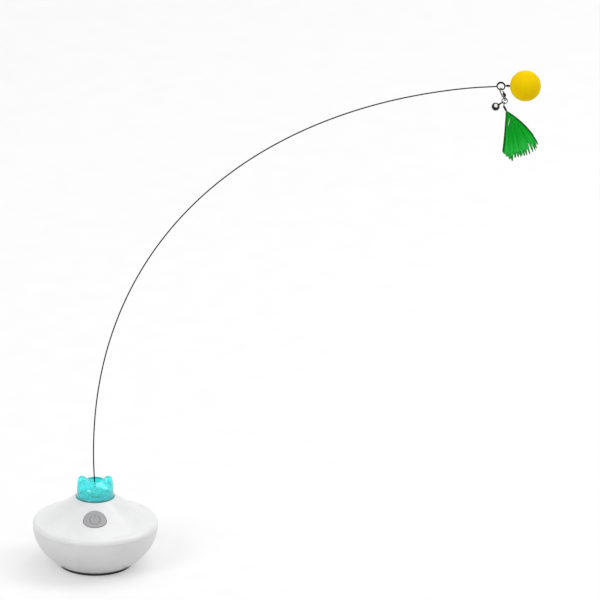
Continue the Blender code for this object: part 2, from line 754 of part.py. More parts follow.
def around_plate(shape_at):
    """A shape for each place of the chassis plate's screws, as one bmesh."""
    return merged(*[moved(shape_at(), *around(PLATE_BOSS_CIRCLE, angle)) for angle in PLATE_BOSS_ANGLES])


def socket_place():
    """Back end (Y) and bottom of the charging socket."""
    bottom = BOARD_TOP + FIT
    back = radius_at(bowl_outline(), bottom + SOCKET_HEIGHT / 2) - SOCKET_RECESS
    return back, bottom


def stadium(width, height, steps=4):
    """A flat outline with round ends."""
    end = height / 2
    reach = width / 2 - end
    right = arc((reach, 0), end, -math.pi / 2, math.pi / 2, steps)
    left = arc((-reach, 0), end, math.pi / 2, math.pi * 3 / 2, steps)
    return right + left


def backwards(shape, back, middle):
    """A prism turned so that its top faces +Y, with its top at back and its axis at middle."""
    frame = frame_from(Vector((0, back, middle)), Vector((-1, 0, 0)), Vector((0, 1, 0)))
    return framed(shape, frame)


def socket_window():
    back, bottom = socket_place()
    hole = prism(stadium(SOCKET_WIDTH + FIT * 2, SOCKET_HEIGHT + FIT * 2), -SOCKET_LENGTH, OVERRUN)
    return backwards(hole, back, bottom + SOCKET_HEIGHT / 2)


def make_upper_shell():
    shell = add("upper_shell", slope_solid(), WHITE_PLASTIC)
    inner = below(inset(slope_outline()[:-1], WALL), DECK_BOTTOM)
    floor = SEAM_TOP - OVERRUN
    hollow = [(0, DECK_BOTTOM)] + inner + [(BASE_RADIUS - WALL, floor), (0, floor)]
    cavity = helper("upper_cavity", lathe(hollow, BIG_SIDES))
    low = floor - OVERRUN
    cut(cavity, around_screws(lambda: cylinder(SHELL_BOSS_RADIUS, low, NECK_HEIGHT)), "shell_bosses")
    boss_bottom = PLATE_TOP + FIT
    cut(cavity, around_plate(lambda: cylinder(PLATE_BOSS_RADIUS, boss_bottom, NECK_HEIGHT)), "plate_bosses")
    combine(shell, cavity, "DIFFERENCE")
    stub = SHELL_BOSS_RADIUS - SHELL_BOSS_STEP
    stub_bottom, stub_top = COLUMN_TOP + FIT, SEAM_TOP + WALL
    join(shell, around_screws(lambda: cylinder(stub, stub_bottom, stub_top)), "boss_stubs")

    recess = cylinder(CAP_FLANGE_RADIUS + FIT, DECK_HEIGHT, NECK_HEIGHT + OVERRUN, MID_SIDES)
    cut(shell, recess, "recess")
    cut(shell, cylinder(BUSH_RADIUS + FIT, DECK_BOTTOM - OVERRUN, DECK_HEIGHT + OVERRUN), "bush_hole")
    pilot = SCREW_SHANK_RADIUS + SLIDE_FIT
    low, high = COLUMN_TOP - OVERRUN, COLUMN_TOP - COLUMN_LEDGE + SHELL_SCREW_LENGTH
    cut(shell, around_screws(lambda: cylinder(pilot, low, high, TINY_SIDES)), "shell_pilots")
    low, high = PLATE_TOP - OVERRUN, PLATE_BOTTOM + SHORT_SCREW_LENGTH
    cut(shell, around_plate(lambda: cylinder(pilot, low, high, TINY_SIDES)), "plate_pilots")
    opening = prism(button_outline(FIT), -BUTTON_FLANGE_DEPTH, OVERRUN)
    cut(shell, framed(opening, button_frame()), "button_window")


def make_shell_screws():
    for number, angle in enumerate(SHELL_SCREW_ANGLES, 1):
        place = around(SHELL_SCREW_CIRCLE, angle)
        seat = COLUMN_TOP - COLUMN_LEDGE
        stock_screw(f"shell_screw_{number}", place, seat, SHELL_SCREW_LENGTH)


def stock_screw(name, place, seat, length, down=False):
    screw(name, place, seat, down, length, SCREW_HEAD_RADIUS, SCREW_HEAD_HEIGHT, SCREW_SHANK_RADIUS)


def make_ballast():
    """A cast disc that drops over the floor boss and is held by one screw."""
    bore = FLOOR_BOSS_RADIUS + FIT
    hole = SCREW_SHANK_RADIUS + FIT
    step = BALLAST_TOP - BALLAST_WEB
    edge = BALLAST_EDGE
    outline = [(bore, BALLAST_BOTTOM), (BALLAST_RADIUS - edge, BALLAST_BOTTOM)]
    outline += [(BALLAST_RADIUS, BALLAST_BOTTOM + edge), (BALLAST_RADIUS, BALLAST_TOP - edge)]
    outline += [(BALLAST_RADIUS - edge, BALLAST_TOP), (hole, BALLAST_TOP), (hole, step), (bore, step)]
    add("ballast_weight", lathe(outline, MID_SIDES), CAST_IRON)
    stock_screw("ballast_screw", (0, 0), BALLAST_TOP, BALLAST_WEB + FLOOR_BOSS_HEIGHT, True)


def make_battery():
    middle = (TRAY_FRONT + TRAY_BACK) / 2
    depth = TRAY_BACK - TRAY_FRONT
    length = BATTERY_LENGTH + (FIT + TRAY_WALL) * 2
    pack = box(0, middle, BATTERY_LENGTH, BATTERY_WIDTH, BATTERY_BOTTOM, BATTERY_TOP)
    edge = min(BATTERY_EDGE, (BATTERY_TOP - BATTERY_BOTTOM) * BATTERY_EDGE_SHARE)
    add("battery_pack", bevelled(pack, edge), BATTERY_WRAP)
    tray = box(0, middle, length, depth, TRAY_BOTTOM, TRAY_BOTTOM + TRAY_HEIGHT)
    tray_piece = add("battery_tray", tray, INNER_PLASTIC)
    room_length, room_width = BATTERY_LENGTH + FIT * 2, BATTERY_WIDTH + FIT * 2
    room_top = TRAY_BOTTOM + TRAY_HEIGHT + OVERRUN
    room = box(0, middle, room_length, room_width, TRAY_BOTTOM + TRAY_FLOOR, room_top)
    cut(tray_piece, room, "room")


def make_main_board():
    half = BOARD_WIDTH / 2
    back = board_back()
    front = back - BOARD_LENGTH
    right = [(half, front), (half, back - BOARD_TAPER), (half - BOARD_TAPER, back)]
    outline = right + [(-x, y) for x, y in reversed(right)]
    board = add("main_board", prism(outline, BOARD_BOTTOM, BOARD_TOP), GREEN_BOARD)
    low, high = BOARD_BOTTOM - OVERRUN, BOARD_TOP + OVERRUN
    hole = SCREW_SHANK_RADIUS + FIT
    holes = [moved(cylinder(hole, low, high, TINY_SIDES), *place) for place in board_posts()]
    cut(board, merged(*holes), "holes")
    chip_top = BOARD_TOP + CHIP_HEIGHT
    chip = box(0, front + CHIP_SIZE, CHIP_SIZE, CHIP_SIZE, BOARD_TOP - SINK, chip_top)
    join(board, chip, "chip")
    for number, place in enumerate(board_posts(), 1):
        stock_screw(f"board_screw_{number}", place, BOARD_TOP, SHORT_SCREW_LENGTH, True)


def make_charging_socket():
    back, bottom = socket_place()
    middle = bottom + SOCKET_HEIGHT / 2
    body = prism(stadium(SOCKET_WIDTH, SOCKET_HEIGHT), -SOCKET_LENGTH, 0)
    socket = add("usb_socket", backwards(body, back, middle), BRIGHT_METAL)
    inside = stadium(SOCKET_WIDTH - SOCKET_SHEET * 2, SOCKET_HEIGHT - SOCKET_SHEET * 2)
    mouth = backwards(prism(inside, -SOCKET_DEPTH, OVERRUN), back, middle)
    cut(socket, mouth, "mouth")
    tongue = box(0, 0, SOCKET_TONGUE_WIDTH, SOCKET_TONGUE, -SOCKET_DEPTH - SINK, -SOCKET_RECESS)
    join(socket, backwards(tongue, back, middle), "tongue")


def pedestal(side):
    """One slanted rib that carries the switch board, with its foot in the chassis plate."""
    frame = button_frame()
    seat = -switch_depths()["board_bottom"] - FIT
    reach = SWITCH_BOARD_HEIGHT / 2 - PEDESTAL_INSET
    lower = frame @ Vector((0, -reach, seat))
    upper = frame @ Vector((0, reach, seat))
    root = PLATE_TOP - SINK
    corners = [(lower.y, root), (upper.y, root), (upper.y, upper.z), (lower.y, lower.z)]
    rib = prism(corners, -PEDESTAL_THICKNESS / 2, PEDESTAL_THICKNESS / 2)
    stand = frame_from(Vector((side * PEDESTAL_SPACING, 0, 0)), Vector((0, 1, 0)), Vector((1, 0, 0)))
    return framed(rib, stand)


def make_chassis_plate():
    disc = cylinder(PLATE_RADIUS, PLATE_BOTTOM, PLATE_TOP, MID_SIDES)
    plate = add("chassis_plate", disc, INNER_PLASTIC)
    join(plate, merged(pedestal(-1), pedestal(1)), "pedestal")
    low, high = PLATE_BOTTOM - OVERRUN, PLATE_TOP + OVERRUN
    holes = [cylinder(BUSH_RADIUS + FIT, low, high)]
    holes.append(moved(cylinder(MOTOR_SHAFT_RADIUS + FIT, low, high), MOTOR_X))
    for side in (-1, 1):
        hole = cylinder(MOTOR_SCREW_RADIUS + SLIDE_FIT, low, high, TINY_SIDES)
        holes.append(moved(hole, MOTOR_X, side * MOTOR_SCREW_SPACING / 2))
    for angle in PLATE_BOSS_ANGLES:
        hole = cylinder(SCREW_SHANK_RADIUS + FIT, low, high, TINY_SIDES)
        holes.append(moved(hole, *around(PLATE_BOSS_CIRCLE, angle)))
    holes.append(moved(cylinder(LEAD_HOLE_RADIUS, low, high), LEAD_HOLE_REACH))
    cut(plate, merged(*holes), "holes")
    for number, angle in enumerate(PLATE_BOSS_ANGLES, 1):
        place = around(PLATE_BOSS_CIRCLE, angle)
        stock_screw(f"plate_screw_{number}", place, PLATE_BOTTOM, SHORT_SCREW_LENGTH)


def make_motor():
    block = box(MOTOR_X, 0, MOTOR_DEPTH, MOTOR_WIDTH, GEARBOX_BOTTOM, GEARBOX_TOP)
    gearbox = add("motor_gearbox", bevelled(block, BOX_EDGE, True), BRASS)
    bore = cylinder(MOTOR_SHAFT_RADIUS + FIT, GEARBOX_TOP - MOTOR_SHAFT_SEAT, GEARBOX_TOP + OVERRUN)
    holes = [moved(bore, MOTOR_X)]
    pilot = MOTOR_SCREW_RADIUS + SLIDE_FIT
    for side in (-1, 1):
        pilot_bottom = PLATE_TOP - MOTOR_SCREW_LENGTH - FIT
        hole = cylinder(pilot, pilot_bottom, GEARBOX_TOP + OVERRUN, TINY_SIDES)
        holes.append(moved(hole, MOTOR_X, side * MOTOR_SCREW_SPACING / 2))
    cut(gearbox, merged(*holes), "holes")

    flat = MOTOR_DEPTH / 2
    radius = MOTOR_WIDTH / 2
    corner = math.acos(flat / radius)
    ends = arc((0, 0), radius, corner, math.pi - corner, 5)
    ends += arc((0, 0), radius, math.pi + corner, math.tau - corner, 5)
    can = prism(ends, CAN_BOTTOM, GEARBOX_BOTTOM - FIT)
    add("motor_can", moved(can, MOTOR_X), BRIGHT_METAL)
    for number, side in enumerate((-1, 1), 1):
        place = (MOTOR_X, side * MOTOR_SCREW_SPACING / 2)
        screw(
            f"motor_screw_{number}",
            place,
            PLATE_TOP,
            True,
            MOTOR_SCREW_LENGTH,
            MOTOR_SCREW_HEAD,
            MOTOR_SCREW_HEAD_HEIGHT,
            MOTOR_SCREW_RADIUS,
        )


def bush(name, seat, bottom):
    """A flanged bush: its flange lies on a seat and its body goes down to a bottom."""
    bore = SPINDLE_RADIUS + SLIDE_FIT
    base = seat + FIT
    top = base + BUSH_FLANGE_THICKNESS
    outline = [(bore, bottom), (BUSH_RADIUS, bottom), (BUSH_RADIUS, base)]
    outline += [(BUSH_FLANGE_RADIUS, base), (BUSH_FLANGE_RADIUS, top), (bore, top)]
    add(name, lathe(outline, SMALL_SIDES), BRASS)


def make_bushes():
    bush("lower_bush", PLATE_TOP, PLATE_BOTTOM - BUSH_REACH)
    bush("upper_bush", DECK_HEIGHT, DECK_BOTTOM - BUSH_REACH)


def make_lamps():
    board = pipe(LAMP_BOARD_HOLE, LAMP_BOARD_RADIUS, LAMP_BOARD_BOTTOM, LAMP_BOARD_TOP, MID_SIDES)
    add("lamp_board", board, WHITE_BOARD)
    base = LAMP_BOARD_TOP + FIT
    top = base + LAMP_HEIGHT
    dome = arc((0, top - LAMP_RADIUS), LAMP_RADIUS, 0, math.pi / 2, 3)[:-1]
    outline = [(0, base), (LAMP_RADIUS, base)] + dome + [(0, top)]
    for number in range(LAMP_COUNT):
        angle = math.tau * (number + 1 / 2) / LAMP_COUNT
        lamp = moved(lathe(outline, TINY_SIDES), *around(LAMP_CIRCLE, angle))
        add(f"lamp_{number + 1}", lamp, LAMP_PLASTIC)


def dome_outline(radius, top, hole):
    """The cap's dome from its shoulder to its hole, as a quarter of an ellipse."""
    rise = (top - CAP_SHOULDER_HEIGHT) / math.sqrt(1 - (hole / radius) ** 2)
    last = math.acos(hole / radius)
    turns = [last * step / DOME_STEPS for step in range(DOME_STEPS + 1)]
    return [(radius * math.cos(a), CAP_SHOULDER_HEIGHT + rise * math.sin(a)) for a in turns]


def ear(side, wall):
    """A cat's ear as a tapering oval cone; a wall makes the smaller cone of its hollow."""
    shape = bmesh.new()
    tip = EAR_TIP_HEIGHT - (EAR_TIP_WALL if wall else 0)
    base_reach, tip_reach = CAP_RADIUS - EAR_BASE_INSET, CAP_RADIUS - EAR_TIP_INSET
    rings = []
    for rise, width_share, depth_share in EAR_SHARES:
        height = EAR_BASE_HEIGHT + (tip - EAR_BASE_HEIGHT) * rise
        reach = side * (base_reach + (tip_reach - base_reach) * rise)
        shrink = wall * (1 - rise)
        half_width = EAR_HALF_WIDTH * width_share - shrink
        half_depth = EAR_HALF_DEPTH * depth_share - shrink
        oval = ellipse(half_width, half_depth, EAR_SIDES)
        rings.append([shape.verts.new((reach + x, y, height)) for x, y in oval])
    for lower, upper in zip(rings, rings[1:]):
        for index in range(EAR_SIDES):
            after = (index + 1) % EAR_SIDES
            shape.faces.new((lower[index], lower[after], upper[after], upper[index]))
    shape.faces.new(rings[0])
    apex = shape.verts.new((side * tip_reach, 0, tip))
    for index in range(EAR_SIDES):
        shape.faces.new((rings[-1][index], rings[-1][(index + 1) % EAR_SIDES], apex))
    return face_out(shape)


def make_ear_cap():
    base = DECK_HEIGHT + FIT
    flange_top = base + CAP_FLANGE_HEIGHT
    outline = [(0, base), (CAP_FLANGE_RADIUS, base), (CAP_FLANGE_RADIUS, flange_top)]
    outline += [(CAP_RADIUS, flange_top + CAP_FLANGE_STEP)]
    outline += dome_outline(CAP_RADIUS, CAP_TOP_HEIGHT, CAP_HOLE_RADIUS) + [(0, CAP_TOP_HEIGHT)]
    cap = add("ear_cap", lathe(outline, MID_SIDES), TEAL_PLASTIC)
    for side, label in ((-1, "left"), (1, "right")):
        join(cap, ear(side, 0), f"{label}_ear")
    inner_radius = CAP_RADIUS - CAP_WALL
    inner_top = CAP_TOP_HEIGHT - CAP_WALL
    inner = [(0, base - OVERRUN), (inner_radius, base - OVERRUN)]
    inner += dome_outline(inner_radius, inner_top, CAP_HOLE_RADIUS) + [(0, inner_top)]
    cut(cap, lathe(inner, MID_SIDES), "hollow")
    for side, label in ((-1, "left"), (1, "right")):
        cut(cap, ear(side, CAP_WALL), f"{label}_ear_hollow")
    hole = cylinder(CAP_HOLE_RADIUS, inner_top - OVERRUN, CAP_TOP_HEIGHT + OVERRUN, MID_SIDES)
    cut(cap, hole, "hole")


def switch_depths():
    """Depths below the slope of the pieces under the button."""
    flange_bottom = BUTTON_FLANGE_DEPTH + BUTTON_FLANGE_THICKNESS
    plunger_top = flange_bottom + FIT
    switch_top = flange_bottom + BUTTON_TRAVEL + FIT
    switch_bottom = switch_top + SWITCH_HEIGHT
    board_top = switch_bottom + FIT
    return {
        "flange_bottom": flange_bottom,
        "plunger_top": plunger_top,
        "switch_top": switch_top,
        "switch_bottom": switch_bottom,
        "board_top": board_top,
        "board_bottom": board_top + SWITCH_BOARD_THICKNESS,
    }


def button_outline(margin):
    """An egg, taller above its widest line than below it, grown by a margin."""
    points = []
    for x, y in ellipse(1, 1, MID_SIDES):
        height = BUTTON_RISE if y > 0 else BUTTON_DROP
        points.append((x * (BUTTON_HALF_WIDTH + margin), y * (height + margin)))
    return points


def make_power_button():
    """A cap that follows the slope, on a flange that keeps it in the shell."""
    frame = button_frame()
    outward = frame.to_3x3() @ Vector((0, 0, 1))
    depths = switch_depths()
    carrier = pivot("button_axis", frame.translation)
    body = framed(prism(button_outline(0), -BUTTON_FLANGE_DEPTH, BUTTON_FLANGE_DEPTH), frame)
    button = add("power_button", body, GREY_BUTTON, carrier)
    raised = moved(slope_solid(), *(outward * BUTTON_PROUD))
    combine(button, helper("button_top_face", raised, carrier), "INTERSECT")
    cut(button, moved(slope_solid(), *(outward * -BUTTON_SKIN)), "under_face", carrier)
    flange = button_outline(BUTTON_FLANGE_LAP)
    plate = prism(flange, -depths["flange_bottom"], -BUTTON_FLANGE_DEPTH)
    stem = cylinder(BUTTON_STEM_RADIUS, -BUTTON_FLANGE_DEPTH - SINK, -BUTTON_SKIN + SINK * 2)
    join(button, framed(stem, frame), "stem", carrier)
    join(button, framed(plate, frame), "flange", carrier)
    plunger = cylinder(PLUNGER_RADIUS, -depths["plunger_top"] - PLUNGER_LENGTH, -depths["plunger_top"])
    add("switch_plunger", framed(plunger, frame), BLACK_PLASTIC, carrier)


def make_switch():
    frame = button_frame()
    depths = switch_depths()
    block = box(0, 0, SWITCH_SIZE, SWITCH_SIZE, -depths["switch_bottom"], -depths["switch_top"])
    switch = add("tact_switch", framed(block, frame), BRIGHT_METAL)
    well_bottom = -depths["switch_bottom"] + SWITCH_FLOOR
    well = cylinder(PLUNGER_RADIUS + SLIDE_FIT, well_bottom, -depths["switch_top"] + OVERRUN)
    cut(switch, framed(well, frame), "well")
    low, high = -depths["board_bottom"], -depths["board_top"]
    board = box(0, 0, SWITCH_BOARD_WIDTH, SWITCH_BOARD_HEIGHT, low, high)
    add("switch_board", framed(board, frame), GREEN_BOARD)


def involute_angle(base, radius):
    """Polar angle swept by an involute between its base circle and a radius."""
    roll = math.sqrt(max((radius / base) ** 2 - 1, 0))
    return roll - math.atan(roll)


def gear_outline(teeth):
    """A spur gear's outline with involute flanks, a tooth centred on +X."""
    pitch = GEAR_MODULE * teeth / 2
    base = pitch * math.cos(PRESSURE_ANGLE)
    tip = pitch + GEAR_MODULE * TIP_HEIGHT_SHARE
    root = pitch - GEAR_MODULE * ROOT_DEPTH_SHARE
    start = max(base, root)
    half_tooth = (math.pi * GEAR_MODULE / 2 - GEAR_BACKLASH) / 2 / pitch
    half_at_base = half_tooth + involute_angle(base, pitch)
    radii = [start, pitch, tip]
    outline = []
    for tooth in range(teeth):
        middle = math.tau * tooth / teeth
        flank = [(radius, half_at_base - involute_angle(base, radius)) for radius in radii]
        foot = [(root, half_at_base)] if root < start else []
        rising = [(radius, middle - half) for radius, half in foot + flank]
        falling = [(radius, middle + half) for radius, half in reversed(foot + flank)]
        outline += [around(radius, angle) for radius, angle in rising + falling]
    return outline


def meshing_turn():
    """The pinion's turn: a gear with even teeth shows it a tooth, so its own tooth moves aside."""
    share = (GEAR_TEETH + 1) % 2
    return Matrix.Rotation(share * math.pi / PINION_TEETH, 4, "Z")


def make_rotor():
    """The spindle, its gear and the socket that holds the wand, all on one axis."""
    axis = pivot("spindle_axis", (0, 0, GEAR_BOTTOM))
    add("spindle_shaft", cylinder(SPINDLE_RADIUS, SPINDLE_BOTTOM, SPINDLE_TOP), STEEL, axis)
    teeth = prism(gear_outline(GEAR_TEETH), GEAR_BOTTOM, GEAR_TOP)
    gear = add("spindle_gear", teeth, GEAR_PLASTIC, axis)
    web_outer = GEAR_MODULE * (GEAR_TEETH / 2 - ROOT_DEPTH_SHARE) - WEB_RIM
    recesses = [
        pipe(HUB_RADIUS, web_outer, GEAR_BOTTOM - OVERRUN, GEAR_BOTTOM + WEB_DEPTH, MID_SIDES),
        pipe(HUB_RADIUS, web_outer, GEAR_TOP - WEB_DEPTH, GEAR_TOP + OVERRUN, MID_SIDES),
    ]
    cut(gear, merged(*recesses), "recesses", axis)
    hub_bottom = PLATE_TOP + BUSH_FLANGE_THICKNESS + FIT * 2
    join(gear, cylinder(HUB_RADIUS - SLIDE_FIT, hub_bottom, GEAR_BOTTOM + WEB_DEPTH), "hub", axis)
    bore = cylinder(SPINDLE_RADIUS + SLIDE_FIT, hub_bottom - OVERRUN, GEAR_TOP + OVERRUN)
    cut(gear, bore, "bore", axis)
    clip_top = PLATE_BOTTOM - BUSH_REACH - FIT
    clip = pipe(SPINDLE_RADIUS + SLIDE_FIT, CLIP_RADIUS, clip_top - CLIP_THICKNESS, clip_top)
    add("spindle_clip", clip, STEEL, axis)
    make_wand_socket(axis)
    return axis


def make_wand_socket(axis):
    bore = SPINDLE_RADIUS + SLIDE_FIT
    hub_top = SOCKET_BOTTOM + SOCKET_HUB_HEIGHT
    cup_bottom = SOCKET_CUP_BOTTOM
    cup = ROOT_BEAD_RADIUS + FIT
    edge = SOCKET_HUB_EDGE
    outline = [(bore, SOCKET_BOTTOM), (SOCKET_HUB_RADIUS, SOCKET_BOTTOM)]
    outline += [(SOCKET_HUB_RADIUS, hub_top - edge), (SOCKET_HUB_RADIUS - edge, hub_top)]
    outline += [(SOCKET_POST_RADIUS, hub_top), (SOCKET_POST_RADIUS, SOCKET_MOUTH_HEIGHT)]
    outline += [(SOCKET_MOUTH_RADIUS, SOCKET_MOUTH_HEIGHT), (cup, WAND_HINGE_HEIGHT), (cup, cup_bottom)]
    outline += [(0, cup_bottom), (0, hub_top), (bore, hub_top)]
    add("wand_socket", lathe(outline, SMALL_SIDES), GEAR_PLASTIC, axis)


def make_pinion():
    axis = pivot("pinion_axis", (MOTOR_X, 0, GEAR_BOTTOM))
    teeth = framed(prism(gear_outline(PINION_TEETH), GEAR_BOTTOM, GEAR_TOP), meshing_turn())
    pinion = add("drive_pinion", moved(teeth, MOTOR_X), GEAR_PLASTIC, axis)
    bore = cylinder(MOTOR_SHAFT_RADIUS + SLIDE_FIT, GEAR_BOTTOM - OVERRUN, GEAR_TOP + OVERRUN)
    cut(pinion, moved(bore, MOTOR_X), "bore", axis)
    shaft = cylinder(MOTOR_SHAFT_RADIUS, GEARBOX_TOP - MOTOR_SHAFT_SEAT + FIT, GEAR_TOP + FIT)
    add("motor_shaft", moved(shaft, MOTOR_X), STEEL, axis)


def wand_route():
    """Centre line of the spring wire: a long arc, one and a half turns of an eye, and a short tail."""
    root = Vector((0, 0, WAND_HINGE_HEIGHT))
    entry = EYE + Vector((-EYE_RADIUS - EYE_BEND, 0, 0))
    lean = Vector((math.sin(WAND_LEAN), 0, math.cos(WAND_LEAN)))
    arrival = Vector((math.sin(WAND_END_SLOPE), 0, math.cos(WAND_END_SLOPE)))
    pulls = (root + lean * WAND_ROOT_PULL, entry - arrival * WAND_END_PULL)
    curve = bezier(root, *pulls, entry, WAND_POINTS)
    shift_start = 1 - EYE_SHIFT_SHARE
    route = []
    for index, (x, y, z) in enumerate(curve):
        late = max(index / WAND_POINTS - shift_start, 0) / EYE_SHIFT_SHARE
        route.append((x, -EYE_OFFSET * late, z))
    route += eye_route()
    tail = BALL_REACH - BALL_RADIUS + BALL_BORE_DEPTH - FIT
    route.append((tail, EYE_OFFSET, EYE.z))
    return route


def eye_route():
    """The eye's turns, from the left end over the top, under and over the top again."""
    skip = math.asin(EYE_BEND / EYE_RADIUS)
    turns = math.tau * 3 / 2 - skip * 2
    count = round(turns / EYE_STEP)
    points = []
    for step in range(count + 1):
        swept = skip + turns * step / count
        angle = math.pi - swept
        under = min(max(swept / math.pi - 1, 0), 1)
        aside = EYE_OFFSET * (2 * (3 * under**2 - 2 * under**3) - 1)
        x, z = around(EYE_RADIUS, angle)
        points.append((EYE.x + x, aside, EYE.z + z))
    corner = EYE_RADIUS + EYE_BEND / 4
    leaving = [(EYE.x + corner, EYE_OFFSET, EYE.z + EYE_BEND / 4)]
    leaving.append((EYE.x + EYE_RADIUS + EYE_BEND, EYE_OFFSET, EYE.z))
    return [(EYE.x - corner, -EYE_OFFSET, EYE.z + EYE_BEND / 4)] + points + leaving


def make_wand(rotor):
    axis = pivot("wand_axis", (0, 0, WAND_HINGE_HEIGHT), rotor)
    wire = add("wand_wire", tube(wand_route(), WIRE_RADIUS), WIRE_STEEL, axis)
    bead = moved(lathe(ball_outline(ROOT_BEAD_RADIUS, 6), TINY_SIDES), z=WAND_HINGE_HEIGHT)
    join(wire, bead, "root_bead", axis)
    make_sleeve(axis)

    left = BALL_REACH - BALL_RADIUS
    bore = WIRE_RADIUS + FIT
    edge = math.asin(bore / BALL_RADIUS)
    face = arc((0, 0), BALL_RADIUS, -math.pi / 2 + edge, math.pi / 2, 12)[:-1] + [(0, BALL_RADIUS)]
    bore_end = -BALL_RADIUS + BALL_BORE_DEPTH
    ball = lathe(face + [(0, bore_end), (bore, bore_end)], BALL_SIDES)
    ball_centre = Vector((BALL_REACH, EYE_OFFSET, EYE.z))
    along_x = frame_from(ball_centre, Vector((0, 1, 0)), Vector((1, 0, 0)))
    add("foam_ball", framed(ball, along_x), YELLOW_FOAM, axis)

    inner = WIRE_RADIUS + SLIDE_FIT
    start = EYE.x + EYE_RADIUS + EYE_BEND + FIT
    sleeve = pipe(inner, inner + FERRULE_WALL, start - BALL_REACH, left - FIT - BALL_REACH, TINY_SIDES)
    add("ball_ferrule", framed(sleeve, along_x), DARK_METAL, axis)
    return axis


def make_sleeve(axis):
    """A soft tapered sleeve on the wire, clear of the socket at both ends of the wire's swing."""
    bore = WIRE_RADIUS + SLIDE_FIT
    end = SLEEVE_START + SLEEVE_LENGTH
    outline = [(bore, SLEEVE_START), (SLEEVE_FOOT_RADIUS, SLEEVE_START)]
    outline += [(SLEEVE_TIP_RADIUS, end), (bore, end)]
    lean = Matrix.Rotation(WAND_LEAN, 4, "Y")
    sleeve = framed(lathe(outline, SMALL_SIDES), lean)
    add("wand_sleeve", moved(sleeve, z=WAND_HINGE_HEIGHT), CLEAR_RUBBER, axis)


def ball_outline(radius, steps):
    """Half a circle from the south pole to the north pole, with both on the axis."""
    middle = arc((0, 0), radius, -math.pi / 2, math.pi / 2, steps)[1:-1]
    return [(0, -radius)] + middle + [(0, radius)]


def clasp_frame():
    """The clasp's frame: X is across, Z runs back up its length, and the origin is the wire it hangs on."""
    hang = EYE + Vector((0, 0, -EYE_RADIUS))
    down = Vector((math.sin(CLASP_LEAN), 0, -math.cos(CLASP_LEAN)))
    beside = Vector((math.cos(CLASP_LEAN), 0, math.sin(CLASP_LEAN)))
    across = Vector((0, 1, 0)) * math.cos(CLASP_TWIST) + beside * math.sin(CLASP_TWIST)
    return frame_from(hang, across, -down)


def clasp_route():
    """Points (across, along) of the bent body, from its open mouth over the hook to its base."""
    top = CLASP_HALF_WIDTH - WIRE_RADIUS - CLASP_WIRE - FIT
    hook = arc((0, -top), CLASP_HALF_WIDTH, 0, math.pi, 8)
    mouth = [(CLASP_HALF_WIDTH, -CLASP_MOUTH_ALONG)]
    bend = CLASP_BASE_ALONG - CLASP_SPINE_END
    foot = arc((-CLASP_HALF_WIDTH + bend, -CLASP_SPINE_END), bend, math.pi, math.pi * 3 / 2, 4)
    knuckle = [(CLASP_PIN_ACROSS, -CLASP_BASE_ALONG)]
    return mouth + hook + foot + knuckle


def flat_plate(outline, low, high):
    """A plate in the clasp's plane, from outline points (across, up)."""
    return framed(prism(outline, low, high), STAND_UP)


def lug(start, end, radius, low, high, steps=5):
    """A plate with round ends from one point to another."""
    way = math.atan2(end[1] - start[1], end[0] - start[0])
    outline = arc(end, radius, way - math.pi / 2, way + math.pi / 2, steps)
    outline += arc(start, radius, way + math.pi / 2, way + math.pi * 3 / 2, steps)
    return flat_plate(outline, low, high)


def across_pin(radius, low, high, place):
    """A pin square to the clasp's plane."""
    pin = framed(cylinder(radius, low, high, TINY_SIDES), STAND_UP)
    return moved(pin, place[0], 0, place[1])


def make_clasp(wand):
    frame = clasp_frame()
    carrier = pivot("clasp_axis", frame.translation, wand)
    route = [(across, 0, up) for across, up in clasp_route()]
    body = add("clasp_body", framed(tube(route, CLASP_WIRE), frame), DARK_METAL, carrier)
    pin_place = (CLASP_PIN_ACROSS, -CLASP_PIN_ALONG)
    base_place = (CLASP_PIN_ACROSS, -CLASP_BASE_ALONG)
    inner = GATE_THICKNESS / 2 + PIN_FIT
    outer = inner + CLASP_CHEEK_THICKNESS
    root_start = (CLASP_PIN_ACROSS - CLASP_CHEEK_RADIUS, -CLASP_BASE_ALONG)
    root_reach = inner + CLASP_CHEEK_THICKNESS / 2
    root = lug(root_start, base_place, CLASP_ROOT_RADIUS, -root_reach, root_reach)
    join(body, framed(root, frame), "cheek_root", carrier)
    for side, label in ((-1, "back"), (1, "front")):
        low, high = sorted((side * inner, side * outer))
        cheek = lug(base_place, pin_place, CLASP_CHEEK_RADIUS, low, high)
        join(body, framed(cheek, frame), f"{label}_cheek", carrier)
    hole = across_pin(PIN_RADIUS + PIN_FIT, -outer - OVERRUN, outer + OVERRUN, pin_place)
    cut(body, framed(hole, frame), "pin_hole", carrier)
    join(body, framed(eyelet(), frame), "eyelet", carrier)

    shaft = pin_outline(outer)
    rivet = moved(framed(lathe(shaft, TINY_SIDES), STAND_UP), pin_place[0], 0, pin_place[1])
    add("clasp_pin", framed(rivet, frame), DARK_METAL, carrier)
    make_gate(frame, carrier, pin_place)
    return carrier


def pin_outline(reach):
    """A rivet with a head past each cheek."""
    seat = reach + PIN_FIT
    end = seat + PIN_HEAD_THICKNESS
    outline = [(0, -end), (PIN_HEAD_RADIUS, -end), (PIN_HEAD_RADIUS, -seat), (PIN_RADIUS, -seat)]
    return outline + [(PIN_RADIUS, seat), (PIN_HEAD_RADIUS, seat), (PIN_HEAD_RADIUS, end), (0, end)]


def eyelet_place():
    """Centre (across, up) of the ring at the clasp's lower end."""
    return 0, -CLASP_BASE_ALONG - CLASP_EYELET_RADIUS - CLASP_WIRE / 2


def eyelet():
    hoop = framed(ring(CLASP_EYELET_RADIUS, CLASP_WIRE, 12), STAND_UP)
    return moved(hoop, eyelet_place()[0], 0, eyelet_place()[1])


